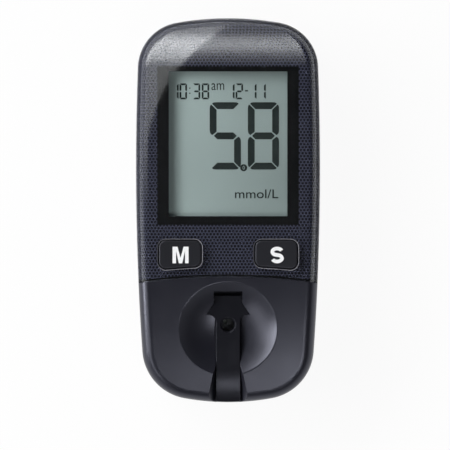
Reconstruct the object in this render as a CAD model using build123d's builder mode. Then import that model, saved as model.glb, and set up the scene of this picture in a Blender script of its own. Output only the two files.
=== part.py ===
"""Handheld photometric blood glucose meter, as an assembly of separate pieces.

Millimetres. The meter lies on its back: X runs across it, +Y points to the display end
and +Z out of the front. The origin is on the rest face, under the middle of the body.
"""

import math
import os

from build123d import *

os.makedirs("parts", exist_ok=True)

# ---------------------------------------------------------------- body form
LENGTH = 97.8
WIDTH = 46.8
THICKNESS = 19.1  # rest face to the tops of the buttons
BUTTON_PROUD = 0.3  # the buttons stand this far above the front face
WIDEST_IN = 37.9  # display end to the widest point
SIDE_BOW_R = 690.0
TOP_BOW_R = 74.5  # display end
BOTTOM_BOW_R = 62.0  # strip end
TOP_CORNER_R = 12.0
BOTTOM_CORNER_R = 13.0
FRONT_EDGE_R = 3.0
REAR_EDGE_R = 4.0
EDGE_R_MIN = 0.1
TOP_ROLL_L = 12.4  # length over which the front rolls down at the display end
TOP_ROLL_R = 22.0
BOTTOM_ROLL_L = 34.9  # and at the strip end
BOTTOM_ROLL_R = 200.0
REAR_ROLL_L = 13.9  # length over which the back lifts at both ends
REAR_ROLL_R = 30.0
END_PAST = 1.0  # shaping cuts run this far past the ends

# ---------------------------------------------------------------- shells
WALL = 1.6
SPLIT_Z = 9.0  # where the front and rear housings meet
TONGUE_T = 0.8  # locating tongue of the rear housing
TONGUE_UP = 1.2
TONGUE_DOWN = 1.5
FIT_GAP = 0.1  # between moulded pieces that locate each other
LAYER_GAP = 0.03  # between bonded layers
FACEPLATE_T = 1.2
FILM_T = 0.12
FRONT_WALL_T = 1.5
SKIRT_DROP = 5.6  # the clear faceplate wraps this far down the sides
SEAM_IN = 31.95  # strip end to the lower edge of the faceplate, on the centreline
SEAM_R = 165.0
SEAM_GAP = 0.25

# ---------------------------------------------------------------- buttons and their switches
BUTTON_W = 10.6
BUTTON_H = 6.5  # along the inner side
BUTTON_SIDE = 5.9  # side of the body to the button
BUTTON_R = 1.7
BUTTON_TO_SEAM = 2.85  # the lower edge follows the seam at this distance
BUTTON_GAP = 0.3
BUTTON_EDGE_R = 0.35
BUTTON_TRAVEL = 0.5
OPENING_CHAMFER = 0.2
FLANGE_OUT = 0.9
FLANGE_T = 1.2
STEM_R = 1.6
SWITCH_W = 6.0
SWITCH_T = 3.0
PLUNGER_R = 1.75
PLUNGER_UP = 0.8  # plunger above its switch body at rest
PLUNGER_DEEP = 0.45  # plunger inside its switch body at rest
RUN_GAP = 0.05  # radial gap of a plunger or pin in its guide

# ---------------------------------------------------------------- display
WINDOW_SIDE = 8.35  # side of the body to the clear window
WINDOW_TOP_IN = 13.7  # display end to the clear window
WINDOW_TO_BUTTON = 6.2
HOUSING_WINDOW_OUT = 0.5  # the housing's opening is this much larger than the window
GASKET_T = 0.3
GASKET_W = 1.0
POLARISER_T = 0.2
GLASS_T = 0.7
GLASS_SIDE_OUT = 1.7  # glass beyond the window
REAR_GLASS_OUT = 1.1
LEDGE_OUT = 3.0  # front glass beyond the window, at its contact ledges
POLARISER_OUT = 0.6
HOLDER_WALL = 1.4
HOLDER_SHELF = 1.2
ZEBRA_W = 1.5

# ---------------------------------------------------------------- board
BOARD_T = 1.0
BOARD_INSET = 3.0
BOARD_GAP = 0.3
PEG_R = 1.3

CHIPS = {  # width, length and height, then the place across and along from the window's middle
    "microcontroller": (10.0, 10.0, 1.4, 0.0, 5.0),
    "memory_chip": (5.0, 4.0, 1.5, -9.0, -6.0),
    "crystal": (3.2, 1.5, 0.8, 9.5, -6.0),
}
CAPACITOR = (1.6, 0.8, 0.8)
CAPACITOR_PITCH = 3.2
CAPACITOR_COUNT = 4
CAPACITOR_DOWN = 8.0  # middle of the window to the row
BUZZER_W = 9.0
BUZZER_T = 1.9
BUZZER_SIDE = 11.9  # side of the body to the middle of the buzzer
BUZZER_UP = 1.0  # middle of the bowl to the buzzer
RESISTOR = (1.0, 0.5, 0.35)
RESISTOR_PITCH = 2.4
RESISTOR_COUNT = 3
RESISTOR_SIDE = 11.9

# ---------------------------------------------------------------- thumb bowl
BOWL_R = 11.9
BOWL_IN = 18.8  # strip end to the middle of the bowl
BOWL_DEPTH = 3.4
BOWL_RIM_R = 0.5

# ---------------------------------------------------------------- strip guide
GUIDE_DROP = 3.0  # the strip channel's floor below the flat of the front
GUIDE_HALF = 2.95
GUIDE_DRAFT = 0.5  # outward lean of the rail's sides, per mm of depth
GUIDE_SKIRT = 2.0
COVER_T = 0.9
COVER_GAP = 0.14
LIP_UP = 9.5  # middle of the bowl to the housing's lip over the slot
HEAD_BACK = 1.15  # lip to the end of the cover
HEAD_HALF = 3.5
FLARE_START = 3.1  # lip to where the cover's head flares out
FLARE_L = 2.7
FLARE_OUT = 1.95
SHOULDER_R = 2.0
END_CURVE_L = 7.9  # the channel curves down over this length at the strip end
END_CURVE_R = 20.0
MOUTH_L = 10.5  # the channel's mouth flares over this length
MOUTH_SLOPE = 0.9
MOUTH_DROP = 2.9
RIDGE_HALF = 2.5  # ridge of the housing under the cover
BED_HALF = 6.4
BED_UNDER = 3.3  # underside of the bed below the channel's floor
SLOT_H = 1.15
SLOT_HALF = 3.2
SLOT_L = 3.3
POCKET_DEPTH = 2.4
COVER_PIN_R = 0.45
COVER_PIN_L = 0.65
COVER_PIN_BACK = 0.85  # end of the cover to its pins

# ---------------------------------------------------------------- optics and strip sensing
PORT_R = 1.7
PORT_UP = 1.0  # middle of the bowl to the measuring port
PORT_CHAMFER = 0.35
LENS_R = 2.0
LENS_T = 0.9
LENS_SINK = 0.15
CHIMNEY_R = 1.5
OPTICS_W = 9.0
OPTICS_L = 9.0
ROD_R = 0.5
ROD_OFFSETS = ((-0.75, 0.6), (0.35, -0.75))
EMITTER_W = 1.0
EMITTER_T = 0.6
SENSE_PIN_IN = 1.9  # lip to the strip-sensing pin
SENSE_PIN_R = 0.55
SENSE_PIN_UP = 0.6
SENSE_BODY_W = 4.0
SENSE_BODY_T = 2.0

# ---------------------------------------------------------------- screws
TOP_SCREW_SIDE = 7.9
TOP_SCREW_IN = 6.4
BOTTOM_SCREW_SIDE = 8.4
BOTTOM_SCREW_IN = 8.4
SCREW_R = 1.0
SCREW_L = 8.6
SCREW_HEAD_R = 1.9
SCREW_HEAD_T = 1.3
SCREW_DRIVE_R = 0.7
SCREW_SEAT_Z = 4.0
SCREW_HOLE_R = 1.15
PILOT_GAP = 0.02
HEAD_GAP = 0.3
REAR_BOSS_R = 2.9
FRONT_BOSS_R = 2.4

# ---------------------------------------------------------------- battery bay
CELL_R = 10.0
CELL_T = 3.2
CELL_IN = 31.4  # display end to the middle of the cell
CELL_Z = 1.95
CELL_SIDE_GAP = 0.2
CELL_CAP_R = 8.8
CELL_SKIN = 0.3
CELL_CAP_UP = 0.25
DOOR_T = 1.5
DOOR_W = 24.4
DOOR_HOOK_END = 3.0  # cell to the door's hook end
DOOR_CATCH_END = 2.3
DOOR_R = 2.5
DOOR_GAP = 0.2
DOOR_LEDGE = 0.8
HOOK_X = 7.0
HOOK_W = 3.2
HOOK_REACH = 1.0
HOOK_ROOT = 1.2
HOOK_T = 0.8
HOOK_GAP = 0.2
CATCH_W = 7.0
CATCH_T = 1.0
CATCH_UP = 2.2
CATCH_SWING = 0.4  # room for the catch to swing past the bay's wall
GRIP_W = 10.0
GRIP_L = 0.9
GRIP_PITCH = 1.9
GRIP_DEPTH = 0.4
GRIP_COUNT = 3
BAY_WALL = 1.1
BAY_CEILING = 1.2
BAY_HEAD = 0.75  # free height over the cell
CELL_RING_T = 1.5
LEAF_T = 0.25
LEAF_W = 4.5
LEAF_FOOT = 2.0
NEGATIVE_REACH = 6.5

# ---------------------------------------------------------------- data socket and label
USB_W = 7.5
USB_H = 2.5
USB_L = 5.2
USB_SKIN = 0.3
USB_SETBACK = 0.9
USB_GAP = 0.2
LABEL_W = 26.0
LABEL_L = 21.0
LABEL_R = 1.5
LABEL_T = 0.12
LABEL_SINK = 0.2

# ================================================================ levels and places
TOP_END_Y = LENGTH / 2
BOTTOM_END_Y = -LENGTH / 2
FRONT_Z = THICKNESS - BUTTON_PROUD
SEAM_Y = BOTTOM_END_Y + SEAM_IN
SKIRT_Z = FRONT_Z - SKIRT_DROP
FILM_INSET = FACEPLATE_T + LAYER_GAP
REBATE_INSET = FILM_INSET + FILM_T + LAYER_GAP
INNER_INSET = REBATE_INSET + FRONT_WALL_T
UNDER_WALL_Z = FRONT_Z - INNER_INSET
BOARD_TOP_Z = SPLIT_Z + BOARD_T


def roll_drop(radius, run):
    """How far an arc that starts level falls over a run."""
    return radius - math.sqrt(radius**2 - run**2)


BUTTON_ARC_R = SEAM_R + BUTTON_TO_SEAM
BUTTON_X = WIDTH / 2 - BUTTON_SIDE - BUTTON_W / 2
BUTTON_LOW_Y = SEAM_Y + BUTTON_TO_SEAM - roll_drop(BUTTON_ARC_R, BUTTON_X - BUTTON_W / 2)
BUTTON_TOP_Y = BUTTON_LOW_Y + BUTTON_H
BUTTON_Y = BUTTON_TOP_Y - BUTTON_H / 2
SIDES = {"m": -1, "s": 1}

WINDOW_HALF = WIDTH / 2 - WINDOW_SIDE
WINDOW_TOP_Y = TOP_END_Y - WINDOW_TOP_IN
WINDOW_BOTTOM_Y = BUTTON_TOP_Y + WINDOW_TO_BUTTON
WINDOW_Y = (WINDOW_TOP_Y + WINDOW_BOTTOM_Y) / 2
GLASS_TOP_Z = UNDER_WALL_Z - GASKET_T
GLASS_JOIN_Z = GLASS_TOP_Z - GLASS_T
GLASS_LOW_Z = GLASS_JOIN_Z - GLASS_T
SHELF_Z = GLASS_LOW_Z - POLARISER_T

SCREW_SPOTS = [
    (side * (WIDTH / 2 - in_x), y)
    for in_x, y in (
        (TOP_SCREW_SIDE, TOP_END_Y - TOP_SCREW_IN),
        (BOTTOM_SCREW_SIDE, BOTTOM_END_Y + BOTTOM_SCREW_IN),
    )
    for side in (-1, 1)
]

BOWL_Y = BOTTOM_END_Y + BOWL_IN
GUIDE_Z = FRONT_Z - GUIDE_DROP
LIP_Y = BOWL_Y + LIP_UP
HEAD_Y = LIP_Y - HEAD_BACK
SHOULDER_Y = LIP_Y - FLARE_START - FLARE_L
SLOT_END_Y = LIP_Y + SLOT_L
PIN_Y = HEAD_Y - COVER_PIN_BACK
PIN_Z = GUIDE_Z - COVER_T / 2
RIDGE_Z = GUIDE_Z - COVER_T - FIT_GAP
BED_Z = GUIDE_Z - BED_UNDER
PORT_Y = BOWL_Y + PORT_UP
LENS_Z = RIDGE_Z - LENS_SINK - LENS_T
OPTICS_TOP_Z = BED_Z - FIT_GAP
ROD_SPOTS = [(x, PORT_Y + y) for x, y in ROD_OFFSETS]
SENSE_Y = LIP_Y + SENSE_PIN_IN

CELL_Y = TOP_END_Y - CELL_IN
CELL_TOP_Z = CELL_Z + CELL_T
DOOR_LOW_Y = CELL_Y - CELL_R - DOOR_HOOK_END
DOOR_TOP_Y = CELL_Y + CELL_R + DOOR_CATCH_END
DOOR_SEAT_Z = DOOR_T + FIT_GAP
CEILING_Z = CELL_TOP_Z + BAY_HEAD
CEILING_TOP_Z = CEILING_Z + BAY_CEILING
POSITIVE_X = CELL_R + RUN_GAP
NEGATIVE_Y = CELL_Y - NEGATIVE_REACH
NEGATIVE_Z = CELL_TOP_Z + RUN_GAP
CATCH_Y = DOOR_TOP_Y - DOOR_LEDGE - CATCH_SWING - CATCH_T / 2

USB_FRONT_Y = TOP_END_Y - USB_SETBACK
USB_BACK_Y = USB_FRONT_Y - USB_L
LABEL_Y = (DOOR_LOW_Y - DOOR_GAP + BOTTOM_END_Y + REAR_ROLL_L) / 2


# ================================================================ shared outlines
def body_outline(inset):
    """Plan of the body, shrunk evenly by inset: four bowed sides with rounded corners."""
    with BuildSketch() as plan:
        with Locations((0, TOP_END_Y - TOP_BOW_R)):
            Circle(TOP_BOW_R - inset)
        with Locations((0, BOTTOM_END_Y + BOTTOM_BOW_R)):
            Circle(BOTTOM_BOW_R - inset, mode=Mode.INTERSECT)
        for side in (-1, 1):
            with Locations((side * (WIDTH / 2 - SIDE_BOW_R), TOP_END_Y - WIDEST_IN)):
                Circle(SIDE_BOW_R - inset, mode=Mode.INTERSECT)
        fillet(plan.vertices().group_by(Axis.Y)[-1], TOP_CORNER_R - inset)
        fillet(plan.vertices().group_by(Axis.Y)[0], BOTTOM_CORNER_R - inset)
    return plan.sketch


def body_profile(inset):
    """Side view of the body (Y across, Z up), shrunk evenly by inset; its rolls run past the ends."""
    top_end, bottom_end = TOP_END_Y + END_PAST, BOTTOM_END_Y - END_PAST
    top_z = FRONT_Z - roll_drop(TOP_ROLL_R, TOP_ROLL_L + END_PAST)
    bottom_z = FRONT_Z - roll_drop(BOTTOM_ROLL_R, BOTTOM_ROLL_L + END_PAST)
    rear_z = roll_drop(REAR_ROLL_R, REAR_ROLL_L + END_PAST)
    with BuildSketch() as side:
        with BuildLine():
            front = Line((BOTTOM_END_Y + BOTTOM_ROLL_L, FRONT_Z), (TOP_END_Y - TOP_ROLL_L, FRONT_Z))
            rear = Line((TOP_END_Y - REAR_ROLL_L, 0), (BOTTOM_END_Y + REAR_ROLL_L, 0))
            TangentArc(front @ 1, (top_end, top_z), tangent=front % 1)
            Line((top_end, top_z), (top_end, rear_z))
            TangentArc(rear @ 0, (top_end, rear_z), tangent=-(rear % 0))
            TangentArc(rear @ 1, (bottom_end, rear_z), tangent=rear % 1)
            Line((bottom_end, rear_z), (bottom_end, bottom_z))
            TangentArc(front @ 0, (bottom_end, bottom_z), tangent=-(front % 0))
        make_face()
        if inset:
            offset(amount=-inset)
    return side.sketch


def body_form(inset=0.0):
    """The whole body as one solid, shrunk evenly by inset, with its rounded edges."""
    with BuildPart() as form:
        with BuildSketch(Plane.XY.offset(-END_PAST)):
            add(body_outline(inset))
        extrude(amount=FRONT_Z + 2 * END_PAST)
        with BuildSketch(Plane.YZ.offset(-WIDTH)):
            add(body_profile(inset))
        extrude(amount=2 * WIDTH, mode=Mode.INTERSECT)
        rims = form.edges().filter_by(GeomType.LINE, reverse=True)
        front_rims = rims.filter_by_position(Axis.Z, FRONT_Z / 2, FRONT_Z)
        fillet(front_rims, max(FRONT_EDGE_R - inset, EDGE_R_MIN))
        rims = form.edges().filter_by(GeomType.LINE, reverse=True)
        rear_rims = rims.filter_by_position(Axis.Z, 0, FRONT_Z / 2)
        fillet(rear_rims, max(REAR_EDGE_R - inset, EDGE_R_MIN))
    return form.part


def above_seam(gap):
    """Plan of everything on the display side of the seam, held back from it by gap."""
    with BuildSketch() as zone:
        with Locations((0, SEAM_Y)):
            Rectangle(2 * WIDTH, 2 * LENGTH)
        with Locations((0, SEAM_Y - SEAM_R)):
            Circle(SEAM_R + gap, mode=Mode.SUBTRACT)
        with Locations((0, SEAM_Y - LENGTH)):
            Rectangle(2 * WIDTH, LENGTH, mode=Mode.SUBTRACT)
    return zone.sketch


def button_outline(side, grow=0.0):
    """Plan of one button, grown evenly by grow; side is -1 at the left and 1 at the right."""
    with BuildSketch() as plan:
        with Locations((side * BUTTON_X, BUTTON_TOP_Y + grow)):
            Rectangle(BUTTON_W + 2 * grow, 2 * BUTTON_H, align=(Align.CENTER, Align.MAX))
        with Locations((0, SEAM_Y - SEAM_R)):
            Circle(BUTTON_ARC_R - grow, mode=Mode.SUBTRACT)
        fillet(plan.vertices(), BUTTON_R + grow)
    return plan.sketch


def both_buttons(grow):
    """Plan of the two button openings."""
    with BuildSketch() as plan:
        for side in SIDES.values():
            add(button_outline(side, grow))
    return plan.sketch


def window_plan(side_out, end_out):
    """Rectangle of the clear window, grown at its sides and at its ends."""
    with BuildSketch() as plan:
        with Locations((0, WINDOW_Y)):
            Rectangle(2 * (WINDOW_HALF + side_out), WINDOW_TOP_Y - WINDOW_BOTTOM_Y + 2 * end_out)
    return plan.sketch


def door_plan(grow):
    """Plan of the battery door, grown evenly by grow."""
    with BuildSketch() as plan:
        with Locations((0, (DOOR_LOW_Y + DOOR_TOP_Y) / 2)):
            RectangleRounded(DOOR_W + 2 * grow, DOOR_TOP_Y - DOOR_LOW_Y + 2 * grow, DOOR_R + grow)
    return plan.sketch


def cover_plan(gap):
    """Plan of the strip guide's cover, grown by gap: a rail whose head flares into shoulders."""
    half, head_half = GUIDE_HALF + gap, HEAD_HALF + gap
    flare_y = LIP_Y - FLARE_START
    with BuildSketch() as plan:
        with BuildLine():
            Polyline(
                (-head_half, HEAD_Y + gap),
                (-head_half, flare_y),
                (-head_half - FLARE_OUT, SHOULDER_Y - gap),
                (-half, SHOULDER_Y - gap),
                (-half, BOTTOM_END_Y - END_PAST),
                (half, BOTTOM_END_Y - END_PAST),
                (half, SHOULDER_Y - gap),
                (head_half + FLARE_OUT, SHOULDER_Y - gap),
                (head_half, flare_y),
                (head_half, HEAD_Y + gap),
                close=True,
            )
        make_face()
        shoulders = plan.vertices().filter_by_position(Axis.X, -half, half)
        fillet(shoulders.filter_by_position(Axis.Y, SHOULDER_Y - gap, SHOULDER_Y), SHOULDER_R - gap)
    return plan.sketch


def channel_profile(top_z, thick):
    """Side view of the strip channel: level from its head, then curving down to the strip end."""
    start_y = BOTTOM_END_Y + END_CURVE_L
    end_y = BOTTOM_END_Y - END_PAST
    drop = roll_drop(END_CURVE_R, END_CURVE_L + END_PAST)
    with BuildSketch() as side:
        with BuildLine():
            top = Line((TOP_END_Y, top_z), (start_y, top_z))
            low = Line((TOP_END_Y, top_z - thick), (start_y, top_z - thick))
            TangentArc(top @ 1, (end_y, top_z - drop), tangent=top % 1)
            TangentArc(low @ 1, (end_y, top_z - drop - thick), tangent=low % 1)
            Line((end_y, top_z - drop), (end_y, top_z - drop - thick))
            Line(top @ 0, low @ 0)
        make_face()
    return side.sketch


def side_extrusion(profile):
    """A side view (Y across, Z up) extruded over the full width."""
    with BuildPart() as solid:
        with BuildSketch(Plane.YZ.offset(-WIDTH)):
            add(profile)
        extrude(amount=2 * WIDTH)
    return solid.part


def trapezoid(low_z, low_half, top_z, top_half):
    """Section across the body (X across, Z up): a trapezoid between two levels."""
    with BuildSketch() as section:
        with BuildLine():
            Polyline(
                (-low_half, low_z),
                (low_half, low_z),
                (top_half, top_z),
                (-top_half, top_z),
                close=True,
            )
        make_face()
    return section.sketch


# ================================================================ body forms
OUTER = body_form()
CAVITY = body_form(WALL)
INNER = body_form(INNER_INSET)

# The bowl is a sphere through its rim's highest and lowest points.
roll_start_y = BOTTOM_END_Y + BOTTOM_ROLL_L
rim_high, rim_low = (
    Vector(0, y, FRONT_Z - roll_drop(BOTTOM_ROLL_R, max(0.0, roll_start_y - y)))
    for y in (BOWL_Y + BOWL_R, BOWL_Y - BOWL_R)
)
half_chord = (rim_high - rim_low).length / 2
BOWL_SPHERE_R = (half_chord**2 + BOWL_DEPTH**2) / (2 * BOWL_DEPTH)
chord_normal = Vector(1, 0, 0).cross(rim_high - rim_low).normalized()
BOWL_CENTRE = (rim_high + rim_low) * 0.5 + chord_normal * (BOWL_SPHERE_R - BOWL_DEPTH)

# ================================================================ faceplate and printed film
with BuildPart() as faceplate:
    add(OUTER)
    add(body_form(FACEPLATE_T), mode=Mode.SUBTRACT)
    with BuildSketch(Plane.XY.offset(SKIRT_Z)):
        add(above_seam(SEAM_GAP))
    extrude(amount=THICKNESS, mode=Mode.INTERSECT)
    with BuildSketch(Plane.XY.offset(SKIRT_Z)):
        add(both_buttons(BUTTON_GAP))
    extrude(amount=THICKNESS, mode=Mode.SUBTRACT)
    opening_rims = faceplate.edges(Select.LAST).filter_by_position(
        Axis.Z, FRONT_Z - FACEPLATE_T / 2, FRONT_Z
    )
    chamfer(opening_rims, OPENING_CHAMFER)

with BuildPart() as decor_film:
    add(body_form(FILM_INSET))
    add(body_form(FILM_INSET + FILM_T), mode=Mode.SUBTRACT)
    with BuildSketch(Plane.XY.offset(SKIRT_Z)):
        add(above_seam(SEAM_GAP))
    extrude(amount=THICKNESS, mode=Mode.INTERSECT)
    with BuildSketch(Plane.XY.offset(SKIRT_Z)):
        add(both_buttons(BUTTON_GAP))
        add(window_plan(0, 0))
    extrude(amount=THICKNESS, mode=Mode.SUBTRACT)

# ================================================================ front housing
with BuildPart() as front_cavity:
    add(CAVITY)
    with BuildSketch(Plane.XY.offset(SKIRT_Z - WALL)):
        add(above_seam(-WALL))
    extrude(amount=THICKNESS, mode=Mode.SUBTRACT)
    add(INNER)

with BuildPart() as faceplate_rebate:
    add(OUTER)
    add(body_form(REBATE_INSET), mode=Mode.SUBTRACT)
    with BuildSketch(Plane.XY.offset(SKIRT_Z - LAYER_GAP)):
        add(above_seam(0))
    extrude(amount=THICKNESS, mode=Mode.INTERSECT)

# floor of the bowl, bed of the strip channel and screw bosses, trimmed to the body
with BuildPart() as front_inner_forms:
    with Locations(BOWL_CENTRE):
        Sphere(BOWL_SPHERE_R + WALL)
    with BuildSketch(Plane.XY.offset(SPLIT_Z)):
        Rectangle(2 * WIDTH, 2 * LENGTH)
    extrude(amount=THICKNESS, mode=Mode.INTERSECT)
    with BuildSketch(Plane.XY.offset(BED_Z)):
        with Locations((0, SLOT_END_Y + WALL)):
            Rectangle(2 * BED_HALF, LENGTH, align=(Align.CENTER, Align.MAX))
    extrude(amount=THICKNESS)
    with BuildSketch(Plane.XY.offset(SPLIT_Z)):
        with Locations(*SCREW_SPOTS):
            Circle(FRONT_BOSS_R)
    extrude(amount=THICKNESS)
    add(OUTER, mode=Mode.INTERSECT)

# room for the cover: its plan, above the underside of its plate
with BuildPart() as cover_envelope:
    with BuildSketch(Plane.XY.offset(BED_Z)):
        add(cover_plan(COVER_GAP))
    extrude(amount=THICKNESS)
    add(
        side_extrusion(channel_profile(RIDGE_Z + THICKNESS, THICKNESS)),
        mode=Mode.INTERSECT,
    )

mouth_half = GUIDE_HALF + COVER_GAP
mouth_low_z = GUIDE_Z - MOUTH_DROP
with BuildPart() as channel_mouth:
    with BuildSketch(Plane.XZ.offset(-BOTTOM_END_Y - MOUTH_L)):
        add(trapezoid(GUIDE_Z, mouth_half, THICKNESS, mouth_half + COVER_GAP))
    with BuildSketch(Plane.XZ.offset(-BOTTOM_END_Y + END_PAST)):
        end_half = mouth_half + MOUTH_SLOPE * (THICKNESS - mouth_low_z)
        add(trapezoid(mouth_low_z, mouth_half, THICKNESS, end_half))
    loft()

with BuildPart() as front_housing:
    add(OUTER)
    add(front_cavity.part, mode=Mode.SUBTRACT)
    add(front_inner_forms.part)
    with BuildSketch(Plane.XY.offset(SPLIT_Z)):
        Rectangle(2 * WIDTH, 2 * LENGTH)
    extrude(amount=THICKNESS, mode=Mode.INTERSECT)
    add(faceplate_rebate.part, mode=Mode.SUBTRACT)
    # thumb bowl, with a softened rim and the low ridge that carries the cover
    with Locations(BOWL_CENTRE):
        Sphere(BOWL_SPHERE_R, mode=Mode.SUBTRACT)
    bowl_face = front_housing.faces().filter_by(GeomType.SPHERE).sort_by(Axis.Z)[-1]
    fillet(bowl_face.outer_wire().edges(), BOWL_RIM_R)
    with BuildSketch(Plane.XY.offset(BED_Z)):
        with Locations((0, (BOWL_Y - BOWL_R + LIP_Y) / 2)):
            Rectangle(2 * RIDGE_HALF, LIP_Y - BOWL_Y + BOWL_R)
    extrude(amount=RIDGE_Z - BED_Z)
    # strip channel, the pocket behind the cover's end, the slot and the pin holes
    add(cover_envelope.part, mode=Mode.SUBTRACT)
    add(channel_mouth.part, mode=Mode.SUBTRACT)
    with BuildSketch(Plane.XY.offset(GUIDE_Z - POCKET_DEPTH)):
        with Locations((0, (PIN_Y - COVER_PIN_R + LIP_Y) / 2)):
            Rectangle(2 * (HEAD_HALF + COVER_GAP), LIP_Y - PIN_Y + COVER_PIN_R)
    extrude(amount=THICKNESS, mode=Mode.SUBTRACT)
    with BuildSketch(Plane.XY.offset(GUIDE_Z)):
        with Locations((0, (LIP_Y + SLOT_END_Y) / 2)):
            Rectangle(2 * SLOT_HALF, SLOT_END_Y - LIP_Y)
    extrude(amount=SLOT_H, mode=Mode.SUBTRACT)
    with BuildSketch(Plane.YZ):
        with Locations((PIN_Y, PIN_Z)):
            Circle(COVER_PIN_R + RUN_GAP)
    extrude(amount=HEAD_HALF + COVER_PIN_L + FIT_GAP, both=True, mode=Mode.SUBTRACT)
    # measuring port: seat of its window, and the chimney down to the optics
    with BuildSketch(Plane.XY.offset(LENS_Z)):
        with Locations((0, PORT_Y)):
            Circle(LENS_R + PILOT_GAP)
    extrude(amount=RIDGE_Z - LENS_Z, mode=Mode.SUBTRACT)
    with BuildSketch(Plane.XY.offset(SPLIT_Z)):
        with Locations((0, PORT_Y)):
            Circle(CHIMNEY_R)
    extrude(amount=LENS_Z - SPLIT_Z, mode=Mode.SUBTRACT)
    with BuildSketch(Plane.XY.offset(SPLIT_Z)):
        with Locations((0, SENSE_Y)):
            Circle(SENSE_PIN_R + RUN_GAP)
    extrude(amount=GUIDE_Z - SPLIT_Z, mode=Mode.SUBTRACT)
    # openings for the display, the buttons, the data socket and the screws
    with BuildSketch(Plane.XY.offset(SKIRT_Z)):
        add(both_buttons(BUTTON_GAP))
        add(window_plan(HOUSING_WINDOW_OUT, HOUSING_WINDOW_OUT))
    extrude(amount=THICKNESS, mode=Mode.SUBTRACT)
    with BuildSketch(Plane.XZ.offset(-TOP_END_Y)):
        with Locations((0, BOARD_TOP_Z + USB_H / 2)):
            Rectangle(USB_W + 2 * USB_GAP, USB_H + 2 * USB_GAP)
    extrude(amount=USB_L, mode=Mode.SUBTRACT)
    with BuildSketch(Plane.XY.offset(SPLIT_Z)):
        with Locations(*SCREW_SPOTS):
            Circle(SCREW_R + PILOT_GAP)
    extrude(amount=SCREW_SEAT_Z + SCREW_L - SPLIT_Z + FIT_GAP, mode=Mode.SUBTRACT)

# ================================================================ rear housing
with BuildPart() as rear_inner_forms:
    # tongue that locates the front housing, on a root below the split
    with BuildSketch(Plane.XY.offset(SPLIT_Z - TONGUE_DOWN)):
        add(body_outline(WALL - FIT_GAP))
        add(body_outline(WALL + FIT_GAP + TONGUE_T), mode=Mode.SUBTRACT)
    extrude(amount=TONGUE_DOWN)
    with BuildSketch(Plane.XY.offset(SPLIT_Z)):
        add(body_outline(WALL + FIT_GAP))
        add(body_outline(WALL + FIT_GAP + TONGUE_T), mode=Mode.SUBTRACT)
        with Locations(*SCREW_SPOTS):
            Circle(FRONT_BOSS_R + FIT_GAP, mode=Mode.SUBTRACT)
        with Locations((0, TOP_END_Y)):
            Rectangle(USB_W + 2 * USB_GAP, 2 * USB_L, mode=Mode.SUBTRACT)
    extrude(amount=TONGUE_UP)
    # battery bay, screw bosses and board pegs
    with BuildSketch():
        add(door_plan(BAY_WALL))
    extrude(amount=CEILING_TOP_Z)
    with BuildSketch():
        with Locations(*SCREW_SPOTS):
            Circle(REAR_BOSS_R)
    extrude(amount=SPLIT_Z)
    with BuildSketch():
        with Locations((0, (DOOR_LOW_Y + DOOR_TOP_Y) / 2)):
            with GridLocations(DOOR_W - 2 * PEG_R, DOOR_TOP_Y - DOOR_LOW_Y - 2 * PEG_R, 2, 2):
                Circle(PEG_R)
        with Locations((0, LABEL_Y)):
            with GridLocations(LABEL_W, LABEL_L, 2, 2):
                Circle(PEG_R)
    extrude(amount=SPLIT_Z)
    add(OUTER, mode=Mode.INTERSECT)

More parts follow.
